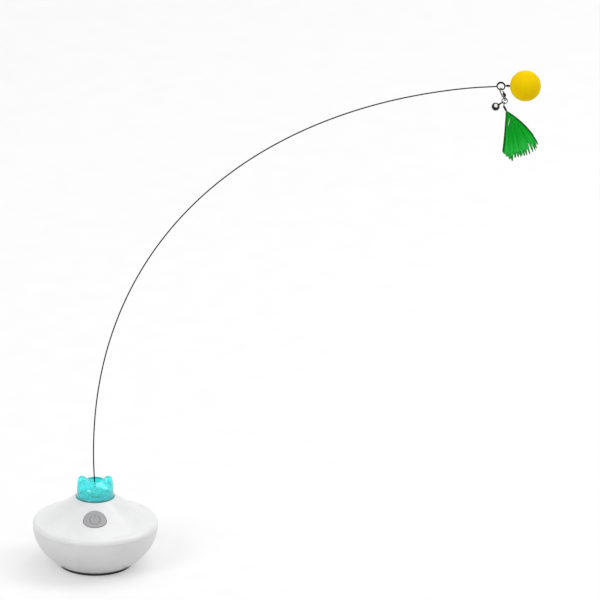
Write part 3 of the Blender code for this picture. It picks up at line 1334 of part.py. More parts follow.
def make_gate(frame, clasp, pin_place):
    """The sprung lever that closes the clasp's mouth, on its own pivot."""
    centre = frame @ Vector((pin_place[0], 0, pin_place[1]))
    carrier = pivot("gate_axis", centre, clasp)
    half = GATE_THICKNESS / 2
    tip = (CLASP_HALF_WIDTH - GATE_HALF_WIDTH, -CLASP_MOUTH_ALONG - CLASP_WIRE - GATE_HALF_WIDTH)
    blade = lug(pin_place, tip, GATE_HALF_WIDTH, -half, half)
    gate = add("clasp_gate", framed(blade, frame), DARK_METAL, carrier)
    knuckle = across_pin(CLASP_CHEEK_RADIUS, -half, half, pin_place)
    join(gate, framed(knuckle, frame), "knuckle", carrier)
    middle_up = (pin_place[1] + tip[1]) / 2
    middle_across = (pin_place[0] + tip[0]) / 2
    tab_end = (middle_across + GATE_TAB_REACH, middle_up)
    tab = lug((middle_across, middle_up), tab_end, GATE_HALF_WIDTH, -half, half)
    join(gate, framed(tab, frame), "tab", carrier)
    hole = across_pin(PIN_RADIUS + PIN_FIT, -half - OVERRUN, half + OVERRUN, pin_place)
    cut(gate, framed(hole, frame), "pin_hole", carrier)


def ring_hinge():
    """The point on the clasp's eyelet that the jump ring swings about."""
    across, up = eyelet_place()
    return clasp_frame() @ Vector((across, 0, up - CLASP_EYELET_RADIUS))


def ring_centre():
    drop = RING_RADIUS - RING_WIRE - CLASP_WIRE - RING_PLAY
    return ring_hinge() + drop * Vector((math.cos(RING_LEAN), 0, math.sin(RING_LEAN)))


def hanging_frame(angle):
    """A frame on the jump ring's wire: +Z points out of the ring and +X along its tangent."""
    outward = Vector((math.cos(angle), 0, math.sin(angle)))
    tangent = Vector((-math.sin(angle), 0, math.cos(angle)))
    return frame_from(ring_centre() + outward * RING_RADIUS, tangent, outward)


def make_jump_ring(clasp):
    carrier = pivot("ring_axis", ring_hinge(), clasp)
    hoop = framed(ring(RING_RADIUS, RING_WIRE, 20), STAND_UP)
    hoop.transform(Matrix.Translation(ring_centre()))
    add("jump_ring", hoop, DARK_METAL, carrier)
    return carrier


def hanging_loop():
    """A wire loop round the jump ring, square to it, in a hanging frame."""
    turn = Matrix.Rotation(math.pi / 2, 4, "Y")
    return framed(ring(LOOP_RADIUS, LOOP_WIRE, 12), turn)


def make_bell(ring_axis):
    """A round jingle bell: a thin ball, slotted below, with a loop above and a pellet inside."""
    frame = hanging_frame(BELL_ANGLE)
    carrier = pivot("bell_axis", frame.translation, ring_axis)
    middle = Matrix.Translation((0, 0, BELL_DROP))
    face = ball_outline(BELL_RADIUS, 6)
    half = len(face) // 2
    outline = face[:half] + bell_belt() + face[half + 1 :]
    ball = framed(lathe(outline, BELL_SIDES), frame @ middle)
    bell = add("bell_shell", ball, DARK_METAL, carrier)
    stem = cylinder(BELL_STEM_RADIUS, LOOP_RADIUS, BELL_DROP - BELL_RADIUS + BELL_WALL, TINY_SIDES)
    join(bell, framed(stem, frame), "stem", carrier)
    hollow = lathe(ball_outline(BELL_RADIUS - BELL_WALL, 6), BELL_SIDES)
    cut(bell, framed(hollow, frame @ middle), "hollow", carrier)
    join(bell, framed(hanging_loop(), frame), "loop", carrier)
    reach = BELL_RADIUS - BELL_SLOT_END
    slot = box(0, 0, BELL_SLOT, reach * 2, BELL_SLOT_END, BELL_RADIUS + OVERRUN)
    cut(bell, framed(slot, frame @ middle), "slot", carrier)
    ends = []
    for side in (-1, 1):
        end = cylinder(BELL_SLOT_END, 0, BELL_RADIUS + OVERRUN, TINY_SIDES)
        ends.append(moved(end, 0, side * reach))
    cut(bell, framed(merged(*ends), frame @ middle), "slot_ends", carrier)
    make_pellet(frame, carrier)


def bell_belt():
    """The rolled seam where the bell's two halves meet, from below to above."""
    belt = BELL_RADIUS + BELL_SEAM
    half = BELL_SEAM / 2
    return [(BELL_RADIUS, -BELL_SEAM), (belt, -half), (belt, half), (BELL_RADIUS, BELL_SEAM)]


def make_pellet(frame, bell_axis):
    seat = BELL_RADIUS - BELL_WALL - PELLET_RADIUS - FIT
    pellet_frame = frame @ Matrix.Translation((0, 0, BELL_DROP + seat))
    pellet_axis = pivot("pellet_axis", pellet_frame.translation, bell_axis)
    pellet = framed(lathe(ball_outline(PELLET_RADIUS, 5), TINY_SIDES), pellet_frame)
    add("bell_pellet", pellet, STEEL, pellet_axis)


def crimp_frame():
    """The crimp tube's frame: +Z runs down its length towards the feather."""
    start = hanging_frame(FEATHER_ANGLE) @ Vector((0, 0, CRIMP_DROP))
    down = Vector((math.cos(CRIMP_ANGLE), 0, math.sin(CRIMP_ANGLE)))
    return frame_from(start, Vector((0, 1, 0)), down)


def make_crimp(ring_axis):
    frame = hanging_frame(FEATHER_ANGLE)
    carrier = pivot("feather_axis", frame.translation, ring_axis)
    closed_end = CRIMP_WALL * 2
    bore = CRIMP_RADIUS - CRIMP_WALL
    outline = [(0, 0), (CRIMP_RADIUS * CRIMP_NOSE_SHARE, 0), (CRIMP_RADIUS, closed_end)]
    outline += [(CRIMP_RADIUS, CRIMP_LENGTH), (bore, CRIMP_LENGTH), (bore, closed_end), (0, closed_end)]
    tube_shape = framed(lathe(outline, TINY_SIDES), crimp_frame())
    crimp = add("feather_crimp", tube_shape, DARK_METAL, carrier)
    stem = cylinder(CRIMP_STEM_RADIUS, LOOP_RADIUS, CRIMP_DROP + closed_end / 2, TINY_SIDES)
    join(crimp, framed(stem, frame), "stem", carrier)
    join(crimp, framed(hanging_loop(), frame), "loop", carrier)
    return carrier


def strand_point(across, along, length):
    """A point (x, z) of the fan, from its root: across runs left to right and along runs to the tip."""
    start = FEATHER_LEFT_START + (FEATHER_RIGHT_START - FEATHER_LEFT_START) * across
    end = FEATHER_LEFT_ANGLE + (FEATHER_RIGHT_ANGLE - FEATHER_LEFT_ANGLE) * across
    pull = Vector((math.cos(start), math.sin(start))) * length / 2
    tip = Vector((math.cos(end), math.sin(end))) * length
    return pull * (2 * along * (1 - along)) + tip * along**2


def feather_ring(across, along, length, pleat):
    """Front and back places of one point on the fan."""
    place = strand_point(across, along, length)
    sideways = (across - 1 / 2) * FEATHER_ROOT_WIDTH * (1 - along)
    swell = math.sin(math.pi * min(along / FEATHER_SWELL_SHARE, 1))
    thickness = FEATHER_ROOT_THICKNESS + (FEATHER_TIP_THICKNESS - FEATHER_ROOT_THICKNESS) * along
    thickness += (FEATHER_THICKNESS - FEATHER_ROOT_THICKNESS) * swell
    middle = FEATHER_PLEAT * pleat * math.sin(math.pi * along / 2)
    front = Vector((place.x + sideways, middle - thickness / 2, place.y))
    back = Vector((place.x + sideways, middle + thickness / 2, place.y))
    return front, back


def make_feather(carrier):
    """A fan of tapering strands, joined above and parted by slits towards the tips."""
    root = crimp_frame() @ Vector((0, 0, CRIMP_LENGTH + FIT))
    shape = bmesh.new()

    def pair(across, along, length, pleat):
        return [shape.verts.new(root + place) for place in feather_ring(across, along, length, pleat)]

    count = FEATHER_STRANDS
    slits = [FEATHER_SLIT_SHARES[0]] + FEATHER_SLIT_SHARES + [FEATHER_SLIT_SHARES[-1]]
    lengths = [FEATHER_LENGTH * share for share in FEATHER_LENGTH_SHARES]
    edge_lengths = [lengths[0]] + [(a + b) / 2 for a, b in zip(lengths, lengths[1:])] + [lengths[-1]]
    edges = []
    for index in range(count + 1):
        pleat = 1 if index % 2 else -1
        rows = [slits[index] * row / FEATHER_BODY_ROWS for row in range(FEATHER_BODY_ROWS + 1)]
        edges.append([pair(index / count, along, edge_lengths[index], pleat) for along in rows])

    def wall(first, second):
        shape.faces.new((first[0], second[0], second[1], first[1]))

    for index in range(count):
        left, right = edges[index], edges[index + 1]
        wall(left[0], right[0])
        for row in range(FEATHER_BODY_ROWS):
            shape.faces.new((left[row][0], right[row][0], right[row + 1][0], left[row + 1][0]))
            shape.faces.new((left[row][1], left[row + 1][1], right[row + 1][1], right[row][1]))
        tip = pair((index + 1 / 2) / count, 1, lengths[index], 0)
        shape.faces.new((left[-1][0], right[-1][0], tip[0]))
        shape.faces.new((left[-1][1], tip[1], right[-1][1]))
        wall(left[-1], tip)
        wall(right[-1], tip)
    for side in (edges[0], edges[-1]):
        for upper, lower in zip(side, side[1:]):
            wall(upper, lower)
    tuft = add("feather_tuft", shape, GREEN_FEATHER, carrier)
    quill = cylinder(QUILL_RADIUS, CRIMP_WALL * 2 + FIT, CRIMP_LENGTH + QUILL_LENGTH, TINY_SIDES)
    join(tuft, framed(quill, crimp_frame()), "quill", carrier)


def build():
    clear_scene()
    make_foot()
    make_lower_shell()
    make_upper_shell()
    make_shell_screws()
    make_ballast()
    make_battery()
    make_main_board()
    make_charging_socket()
    make_chassis_plate()
    make_motor()
    make_bushes()
    make_lamps()
    make_ear_cap()
    make_power_button()
    make_switch()
    rotor = make_rotor()
    make_pinion()
    wand = make_wand(rotor)
    clasp = make_clasp(wand)
    ring_axis = make_jump_ring(clasp)
    make_bell(ring_axis)
    make_feather(make_crimp(ring_axis))


build()
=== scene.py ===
"""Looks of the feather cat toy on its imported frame, with a procedural finish for every piece.

Smooth moulded shells, a clear eared cap, a spring wire wand, a foam ball, a small hook chain with a bell, and
a split feather fan.
"""

import json
import random
from math import acos, asin, atan2, cos, exp, pi, radians, sin, sqrt, tau

import bmesh
import bpy
from mathutils import Matrix, Vector
from mathutils.bvhtree import BVHTree


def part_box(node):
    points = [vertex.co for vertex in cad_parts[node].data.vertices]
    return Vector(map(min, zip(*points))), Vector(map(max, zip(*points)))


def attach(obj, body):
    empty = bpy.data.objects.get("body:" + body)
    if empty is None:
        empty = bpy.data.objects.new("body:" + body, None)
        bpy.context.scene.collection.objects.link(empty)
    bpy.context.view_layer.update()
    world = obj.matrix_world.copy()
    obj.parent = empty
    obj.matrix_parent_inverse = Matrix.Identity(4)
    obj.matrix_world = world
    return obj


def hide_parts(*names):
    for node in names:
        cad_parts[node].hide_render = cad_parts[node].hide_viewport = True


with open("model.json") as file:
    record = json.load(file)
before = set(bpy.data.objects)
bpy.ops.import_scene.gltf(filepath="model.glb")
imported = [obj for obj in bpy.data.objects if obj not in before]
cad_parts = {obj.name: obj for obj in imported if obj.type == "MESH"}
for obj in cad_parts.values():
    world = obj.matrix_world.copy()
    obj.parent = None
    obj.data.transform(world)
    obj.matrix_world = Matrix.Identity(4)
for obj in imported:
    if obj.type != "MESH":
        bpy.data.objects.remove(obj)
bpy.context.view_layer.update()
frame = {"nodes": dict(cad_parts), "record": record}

# Camera and light
VIEW_TARGET = Vector((0.1632, 0, 0.2244))
VIEW_DISTANCE = 15.88
VIEW_LENS = 1200
VIEW_TILT = radians(21)
WORLD_LIGHT = 0.64
FLOOR_GLOW = 0.30

# Main sizes, repeated from the CAD
BASE_RADIUS = 0.0500
FOOT_RADIUS = 0.0293
FOOT_TOP = 0.0018
SEAM_HEIGHT = 0.0333
SEAM_TOP = SEAM_HEIGHT + 0.00005
SEAM_BOTTOM = SEAM_HEIGHT - 0.00005
NECK_RADIUS = 0.0164
NECK_HEIGHT = 0.0572
DECK_HEIGHT = 0.0560
DECK_BOTTOM = 0.0538
DECK_HOLE = 0.0033
DECK_RADIUS = 0.0154
BOWL_BOTTOM = 0.0021
WALL = 0.0020
FIT = 0.0003
OVERRUN = 0.0020
SCREW_CIRCLE = 0.0360
SCREW_ANGLES = [radians(turn) for turn in (20, 160, 230, 310)]
PLATE_CIRCLE = 0.0285
PLATE_ANGLES = [radians(turn) for turn in (90, 210, 330)]
PLATE_BOTTOM = 0.0367
BOSS_BORE = 0.00125
COLUMN_TOP = 0.0240
SOCKET_SIZE = (0.0089, 0.0032)
SOCKET_DEPTH = 0.0074
SOCKET_PLATE = (0.0033, 0.00035)
BUTTON_CIRCLE = 0.0290
BUTTON_HEIGHT = 0.04719
BUTTON_OUT = Vector((0, -0.613675, 0.789559))
FLANGE_BOTTOM = -0.0042
EGG_ASIDE = 0.00915
EGG_ABOVE = 0.0091
EGG_BELOW = 0.0064
CAP_RADIUS = 0.0145
CAP_FLANGE = 0.0151
CAP_WALL = 0.0012
CAP_HOLE = 0.0054
CAP_SHOULDER = 0.0635
CAP_TOP = 0.0714
EYE = Vector((0.3221, 0, 0.4055))
EYE_RADIUS = 0.00305
EYE_OFFSET = 0.000725
EYE_BEND = 0.0010
WIRE_RADIUS = 0.0005
WAND_ROOT = 0.0624
WAND_LEAN = radians(-4.4)
WAND_END_SLOPE = radians(87)
WAND_POINTS = 36
ROOT_PULL = 0.2101
END_PULL = 0.1899
WIRE_IN_BALL = 0.0097
BALL_RADIUS = 0.01225
BALL_CENTRE = Vector((0.3415, EYE_OFFSET, 0.4055))

# Fineness of the turned and swept forms
ROUND_SIDES = 144
CAP_SIDES = 120
SMALL_SIDES = 40
PIN_SIDES = 32
CORNER_STEPS = 3
CORNER_SHARE = 0.48
LUG_STEPS = 14
WIRE_SIDES = 14
SMOOTH_ANGLE = radians(38)
ON_AXIS = 1e-7

# Axes
X_AXIS = Vector((1, 0, 0))
Y_AXIS = Vector((0, 1, 0))
STAND_UP = Matrix.Rotation(pi / 2, 4, "X")


# Shapes


def between(low, high, share):
    return low + (high - low) * share


def clamped(value, low=0, high=1):
    return min(max(value, low), high)


def spaced(start, span, count):
    """Values from start over a span, in even steps, with both ends."""
    return [start + span * step / count for step in range(count + 1)]


def shares(count):
    """Even steps from 0 to 1."""
    return spaced(0, 1, count)


def circle(sides):
    """The cosine and the sine at each step round a circle."""
    turns = [tau * step / sides for step in range(sides)]
    return [(cos(a), sin(a)) for a in turns]


def bridge(shape, first, second):
    """Faces between two rings, either of which may be a single point."""
    count = max(len(first), len(second))
    if count == 1:
        return
    for index in range(count):
        after = (index + 1) % count
        corners = [first[index % len(first)], first[after % len(first)]]
        corners += [second[after % len(second)], second[index % len(second)]]
        shape.faces.new(list(dict.fromkeys(corners)))


def skin(shape, rings, caps=(0, -1), cyclic=False):
    """Faces from ring to ring; caps are the rings that get a face, and a cyclic skin joins up."""
    for first, second in zip(rings, rings[1:] + (rings[:1] if cyclic else [])):
        bridge(shape, first, second)
    for cap in caps:
        shape.faces.new(rings[cap])


def face_out(shape):
    shape.normal_update()
    bmesh.ops.recalc_face_normals(shape, faces=shape.faces)
    return shape


def loft(rows, caps=(0, -1), cyclic=False):
    """A solid whose skin runs over rows of points."""
    shape = bmesh.new()
    skin(shape, [[shape.verts.new(point) for point in row] for row in rows], caps, cyclic)
    return face_out(shape)


def lathe(outline, sides=SMALL_SIDES):
    """A solid turned round Z from closed outline points (radius, height)."""
    rows = []
    for radius, height in outline:
        ring = [(radius * x, radius * y, height) for x, y in circle(sides)]
        rows.append([(0, 0, height)] if radius < ON_AXIS else ring)
    return loft(rows, (), True)


def rounded(outline, radius, sharpest=radians(25)):
    """A closed outline with its corners rounded off."""
    points = [Vector(point) for point in outline]
    result = []
    for index, corner in enumerate(points):
        before, after = points[index - 1], points[(index + 1) % len(points)]
        come, leave = corner - before, after - corner
        if min(corner.x, come.length, leave.length) < ON_AXIS or come.angle(leave) < sharpest:
            result.append(tuple(corner))
            continue
        start = corner - come.normalized() * min(radius, come.length * CORNER_SHARE)
        end = corner + leave.normalized() * min(radius, leave.length * CORNER_SHARE)
        for t in shares(CORNER_STEPS):
            result.append(tuple(start * (1 - t) ** 2 + corner * (2 * t * (1 - t)) + end * t**2))
    return result


def rectangle(wide, high):
    return [(-wide, -high), (wide, -high), (wide, high), (-wide, high)]


def tube(bore, radius, bottom, top):
    """A tube's outline, or a rod's where the bore is 0."""
    return [(bore, bottom), (radius, bottom), (radius, top), (bore, top)]


def cylinder(radius, bottom, top, sides=SMALL_SIDES):
    return lathe(tube(0, radius, bottom, top), sides)


def arc(centre, radius, start, end, count):
    turns = spaced(start, end - start, count)
    return [(centre[0] + radius * cos(a), centre[1] + radius * sin(a)) for a in turns]


def round_ends(start, end, radius, way):
    """The outline round two circles, of which the second lies in a given direction."""
    outline = arc(end, radius, way - pi / 2, way + pi / 2, LUG_STEPS)
    return outline + arc(start, radius, way + pi / 2, way + pi * 3 / 2, LUG_STEPS)


def bezier(start, start_pull, end_pull, end, count):
    a, b, c, d = [Vector(point) for point in (start, start_pull, end_pull, end)]
    points = []
    for t in shares(count):
        late = c * (3 * t * t * (1 - t))
        points.append(tuple(a * (1 - t) ** 3 + b * (3 * t * (1 - t) ** 2) + late + d * t**3))
    return points


def smooth_path(points, count):
    """A smooth path through points, in count steps between each two."""
    places = [Vector(point) for point in points]
    ends = [places[0] * 2 - places[1]] + places + [places[-1] * 2 - places[-2]]
    result = []
    for a, b, c, d in zip(ends, places, places[1:], ends[3:]):
        for t in shares(count)[:-1]:
            bend = (a * 2 - b * 5 + c * 4 - d) * t**2
            result.append((b * 2 + (c - a) * t + bend + (b * 3 - a - c * 3 + d) * t**3) / 2)
    return result + [places[-1]]


def directions(places, cyclic=False):
    """The way along a path at each of its places."""
    count = len(places)
    ways = []
    for index in range(count):
        ahead = places[(index + 1) % count] if cyclic else places[min(index + 1, count - 1)]
        behind = places[index - 1] if cyclic or index else places[0]
        ways.append((ahead - behind).normalized())
    return ways


def inset(points, distance, cyclic=False):
    """A flat path moved to its right-hand side by a distance."""
    places = [Vector(point) for point in points]
    pairs = zip(places, directions(places, cyclic))
    return [(place.x + way.y * distance, place.y - way.x * distance) for place, way in pairs]


def shrunk(outline, distance):
    """A closed outline moved inwards by a distance."""
    area = sum(a[0] * b[1] - b[0] * a[1] for a, b in zip(outline, outline[1:] + outline[:1]))
    return inset(outline, -distance if area > 0 else distance, True)


def prism(outline, bottom, top):
    shape = bmesh.new()
    base = shape.faces.new([shape.verts.new((x, y, bottom)) for x, y in outline])
    raised = bmesh.ops.extrude_face_region(shape, geom=[base])["geom"]
    tops = [item for item in raised if isinstance(item, bmesh.types.BMVert)]
    bmesh.ops.translate(shape, verts=tops, vec=(0, 0, top - bottom))
    return face_out(shape)


def soft_prism(outline, bottom, top, edge):
    """A plate with its rim rounded over, from an outline that is convex or nearly so."""
    turns = spaced(0, pi / 2, CORNER_STEPS)
    levels = [(edge * (1 - sin(a)), bottom + edge * (1 - cos(a))) for a in turns]
    levels += [(edge * (1 - cos(a)), top - edge * (1 - sin(a))) for a in turns]
    return loft([[(x, y, height) for x, y in shrunk(outline, inside)] for inside, height in levels])


def sweep(points, radius, sides=WIRE_SIDES, cyclic=False):
    """A round rod along points, with flat ends."""
    places = [Vector(point) for point in points]
    ways = directions(places, cyclic)
    side = Y_AXIS if abs(ways[0].y) < 0.8 else X_AXIS
    side = (side - ways[0] * side.dot(ways[0])).normalized()
    rows = []
    for place, along in zip(places, ways):
        side = (side - along * side.dot(along)).normalized()
        other = along.cross(side)
        rows.append([place + (side * x + other * y) * radius for x, y in circle(sides)])
    return loft(rows, () if cyclic else (0, -1), cyclic)


def hoop(radius, wire):
    """A wire ring round Z."""
    return lathe(arc((radius, 0), wire, 0, tau * (1 - 1 / WIRE_SIDES), WIRE_SIDES - 1))


def framed(shape, place):
    shape.transform(place)
    return shape


def moved(shape, x=0, y=0, z=0):
    return framed(shape, Matrix.Translation((x, y, z)))


def frame_from(place, x_axis, z_axis):
    turn = Matrix((x_axis, z_axis.cross(x_axis), z_axis)).transposed()
    return Matrix.Translation(place) @ turn.to_4x4()


def in_plane(angle):
    """A direction in the plane of the wand."""
    return Vector((cos(angle), 0, sin(angle)))


def quarter_on(way):
    """A direction of that plane turned by a quarter."""
    return Vector((-way.z, 0, way.x))


def around(radius, angle):
    return radius * cos(angle), radius * sin(angle)


def absorb(whole, shape):
    """Adds a shape to another, which uses it up."""
    mesh = bpy.data.meshes.new("merge")
    shape.to_mesh(mesh)
    shape.free()
    whole.from_mesh(mesh)
    bpy.data.meshes.remove(mesh)


def merged(*shapes):
    """One bmesh holding several."""
    whole = bmesh.new()
    for shape in shapes:
        absorb(whole, shape)
    return whole


def loose(name, shape):
    """A bare object from a bmesh, which is used up."""
    mesh = bpy.data.meshes.new(name)
    shape.to_mesh(mesh)
    shape.free()
    made = bpy.data.objects.new(name, mesh)
    bpy.context.scene.collection.objects.link(made)
    return made


def set_up(made, settings):
    for key, value in settings.items():
        setattr(made, key, value)
    return made


def modified(obj, name, kind, **settings):
    set_up(obj.modifiers.new(name, kind), settings)


def settled(obj):
    """The object's shape with its modifiers, as a bmesh; the object goes."""
    graph = bpy.context.evaluated_depsgraph_get()
    mesh = bpy.data.meshes.new_from_object(obj.evaluated_get(graph))
    shape = bmesh.new()
    shape.from_mesh(mesh)
    bpy.data.meshes.remove(mesh)
    bpy.data.objects.remove(obj)
    return shape


def boolean(shape, operation, *tools):
    """The shape after one Boolean for each tool."""
    target = loose("target", shape)
    helpers = [loose("tool", tool) for tool in tools]
    for helper in helpers:
        modified(target, "step", "BOOLEAN", operation=operation, solver="EXACT", object=helper)
    result = settled(target)
    for helper in helpers:
        bpy.data.objects.remove(helper)
    return result


def smoothed(shape, voxel, rounds):
    """The shape rebuilt in even small faces and smoothed, which rounds every edge a little."""
    target = loose("target", shape)
    modified(target, "remesh", "REMESH", mode="VOXEL", voxel_size=voxel)
    modified(target, "relax", "SMOOTH", factor=0.5, iterations=rounds)
    return settled(target)


# Finishes


class Nodes:
    """Short ways to add nodes to a material or a world, fed by constants or by other nodes."""

    def __init__(self, owner):
        owner.use_nodes = True
        self.owner = owner
        self.tree = owner.node_tree

    def feed(self, target, values):
        """Sets a node's inputs to constants, or links them to outputs."""
        for key, value in values.items():
            socket = target.inputs[key]
            if isinstance(value, bpy.types.NodeSocket):
                self.tree.links.new(value, socket)
            else:
                socket.default_value = (*value, 1) if socket.type == "RGBA" else value

    def node(self, kind, inputs=(), **settings):
        made = set_up(self.tree.nodes.new("ShaderNode" + kind), settings)
        self.feed(made, dict(inputs))
        return made

    def place(self, stretch=(1, 1, 1)):
        """Object coordinates, in metres, stretched."""
        place = self.node("TexCoord").outputs["Object"]
        return self.node("Mapping", {"Vector": place, "Scale": stretch}).outputs["Vector"]

    def split(self, vector):
        """The X, Y and Z of a vector."""
        return list(self.node("SeparateXYZ", {"Vector": vector}).outputs)

    def noise(self, scale, detail=3, rough=0.5, stretch=(1, 1, 1), warp=0):
        inputs = {"Vector": self.place(stretch), "Scale": scale, "Detail": detail}
        return self.node("TexNoise", inputs | {"Roughness": rough, "Distortion": warp}).outputs["Fac"]

    def cells(self, scale):
        return self.node("TexVoronoi", {"Vector": self.place(), "Scale": scale}).outputs["Distance"]

    def spread(self, source, low, high, from_low=0.3, from_high=0.7):
        """A value mapped from one range to another, clamped."""
        inputs = {"Value": source, "From Min": from_low, "From Max": from_high}
        return self.node("MapRange", inputs | {"To Min": low, "To Max": high}).outputs["Result"]

    def blend(self, factor, first, second):
        """A mix of two colours."""
        return self.node("Mix", {"Factor": factor, 6: first, 7: second}, data_type="RGBA").outputs[2]

    def maths(self, operation, first, second=0):
        return self.node("Math", {0: first, 1: second}, operation=operation).outputs[0]

    def added(self, first, second):
        return self.maths("ADD", first, second)

    def vector(self, operation, inputs):
        return self.node("VectorMath", inputs, operation=operation).outputs

    def seen(self):
        """1 for rays that show the surroundings, and 0 for those that only carry their light."""
        rays = self.node("LightPath").outputs
        direct = self.maths("MAXIMUM", rays["Is Camera Ray"], rays["Is Glossy Ray"])
        return self.maths("MAXIMUM", direct, rays["Is Transmission Ray"])

    def finish(self, colour, roughness, height, depth, more=()):
        """The material, with a bump from a 0 to 1 height that stands for depth metres."""
        bump = self.node("Bump", {"Strength": 1, "Distance": depth, "Height": height}).outputs["Normal"]
        inputs = {"Base Color": colour, "Roughness": roughness, "Normal": bump} | dict(more)
        self.feed(self.tree.nodes["Principled BSDF"], inputs)
        return self.owner


def blank(name="finish"):
    return Nodes(bpy.data.materials.new(name))


def shades(colour, amount):
    """A darker and a lighter version of a colour."""
    return [tuple(clamped(c * factor) for c in colour) for factor in (1 - amount, 1 + amount)]


def moulded(colour, roughness, grain=0.000006, vary=0.03, coat=0.0):
    """Moulded plastic: a fine spark texture, faint flow marks and handling scuffs in its gloss."""
    nodes = blank()
    flow = nodes.spread(nodes.noise(60, 2, 0.5, (1, 1, 0.4), 0.6), 0, 1)
    scuffs = nodes.spread(nodes.noise(900, 4, 0.65, (1, 0.12, 1)), -0.05, 0.06, 0.45, 0.75)
    haze = nodes.added(scuffs, nodes.spread(flow, -0.02, 0.02, 0, 1))
    tint = nodes.blend(flow, *shades(colour, vary))
    more = {"Coat Weight": coat, "Coat Roughness": 0.12}
    return nodes.finish(tint, nodes.added(haze, roughness), nodes.noise(7000, 2, 0.6), grain, more)


def metal(colour, roughness, stretch=(1, 1, 8), grain=0.000003, vary=0.08, rim=1.0):
    """Metal with drawn or turned lines, uneven polish and a slightly darker skin in places."""
    nodes = blank()
    cloud = nodes.spread(nodes.noise(700, 4, 0.6), 0, 1)
    lines = nodes.noise(4500, 3, 0.7, stretch)
    uneven = nodes.added(nodes.spread(lines, -0.06, 0.06), nodes.spread(cloud, -0.04, 0.05, 0, 1))
    tint = nodes.blend(cloud, *shades(colour, vary))
    more = {"Metallic": 1, "Specular Tint": (rim, rim, rim)}
    return nodes.finish(tint, nodes.added(uneven, roughness), lines, grain, more)


def plating_with_painted_highlight(colour, highlight_colour, roughness, middle):
    """Dark plating with a painted highlight: bright where the round bell faces up and to the front, and the
    same to the back.
    """
    nodes = blank("bell_plating_and_highlight")
    place = nodes.node("TexCoord").outputs["Object"]
    x, y, z = nodes.split(nodes.vector("SUBTRACT", {0: place, 1: middle})[0])
    folded = nodes.node("CombineXYZ", {"X": x, "Y": nodes.maths("ABSOLUTE", y), "Z": z}).outputs[0]
    way = nodes.vector("NORMALIZE", {0: folded})[0]
    bulge = Vector((0.1, 0.79, 0.60)).normalized()
    toward = nodes.vector("DOT_PRODUCT", {0: way, 1: bulge})["Value"]
    uneven = nodes.added(toward, nodes.spread(nodes.noise(1500), -0.02, 0.02))
    # Painted highlight: the plating turns bright, and a little rougher, where the bell faces up and to the
    # front and back.
    painted_highlight = nodes.spread(uneven, 0, 1, 0.86, 0.92)
    gloss = nodes.spread(painted_highlight, roughness, roughness + 0.1, 0, 1)
    tint = nodes.blend(painted_highlight, colour, highlight_colour)
    return nodes.finish(tint, gloss, nodes.noise(3000), 0.000004, {"Metallic": 1})


def cast(colour, roughness):
    """Cast iron: a pitted skin under a thin grey coat, with darker hollows."""
    nodes = blank()
    pits = nodes.maths("MULTIPLY", nodes.cells(900), nodes.noise(500, 5, 0.7))
    surface = nodes.spread(pits, 0, 1, 0.1, 0.4)
    gloss = nodes.added(nodes.spread(surface, 0.08, -0.08, 0, 1), roughness)
    tint = nodes.blend(surface, *shades(colour, 0.35))
    return nodes.finish(tint, gloss, surface, 0.00006, {"Metallic": 0.8})


def rubber(colour, roughness):
    """Matt rubber with a fine open grain and a little dust."""
    nodes = blank()
    dust = nodes.spread(nodes.noise(1600, 5, 0.75), 0, 1, 0.55, 0.8)
    grain = nodes.cells(3500)
    gloss = nodes.spread(grain, roughness - 0.08, roughness + 0.08, 0, 1)
    return nodes.finish(nodes.blend(dust, colour, tuple(c + 0.035 for c in colour)), gloss, grain, 0.00003)


def board(colour, copper):
    """A circuit board: lacquer over branching copper tracks, with pale print specks."""
    nodes = blank()
    inputs = {"Vector": nodes.place(), "Scale": 420, "Mortar Size": 0.035}
    tracks = nodes.node("TexBrick", inputs, offset=0.35, squash=0.7).outputs["Fac"]
    lacquer = nodes.blend(nodes.spread(nodes.noise(300), 0, 1), *shades(colour, 0.08))
    specks = nodes.spread(nodes.cells(700), 1, 0, 0.10, 0.13)
    tint = nodes.blend(specks, nodes.blend(tracks, lacquer, copper), (0.62, 0.60, 0.50))
    return nodes.finish(tint, nodes.spread(nodes.noise(800), 0.28, 0.42), tracks, 0.00003)


def clear_plastic(colour, roughness, body, thick_and_joint_shade, low=None, foot=0.0, coat=0.0, glow=0.0):
    """Tinted clear plastic, deeper where a wall is seen on edge, with painted shade that makes it deeper low
    down and dark in a band at its foot, and a painted glow where one is given.
    """
    nodes = blank()
    flow = nodes.spread(nodes.noise(120, 3, 0.5, (1, 1, 0.3), 0.8), 0, 1)
    base = nodes.blend(flow, *shades(colour, 0.10))
    height = nodes.split(nodes.place())[2]
    # Painted shade: the colour turns deeper below the given height.
    if low:
        base = nodes.blend(nodes.spread(height, 1, 0, foot + 0.0045, foot + 0.0085), base, low)
    facing = nodes.spread(nodes.node("LayerWeight").outputs["Facing"], 0, 1, 0.58, 0.84)
    # Painted shade: the band at the foot goes dark, standing in for the shadow of the joint with the neck,
    # over a slightly thicker flange.
    joint_shade = nodes.spread(height, 1, 0, foot - 0.0004, foot + 0.0004)
    tint = nodes.blend(nodes.maths("MAXIMUM", facing, joint_shade), base, thick_and_joint_shade)
    gloss = nodes.spread(nodes.noise(700, 4, 0.6), roughness * 0.7, roughness * 1.5)
    more = {"Transmission Weight": body, "IOR": 1.42, "Specular IOR Level": 0.3}
    more |= {"Coat Weight": coat, "Coat Roughness": 0.08, "Coat IOR": 2.4}
    # Painted light: the emission makes the plastic glow faintly in its own colour.
    more |= {"Emission Color": colour, "Emission Strength": glow}
    return nodes.finish(tint, gloss, nodes.noise(260, 2, 0.5), 0.00002, more)


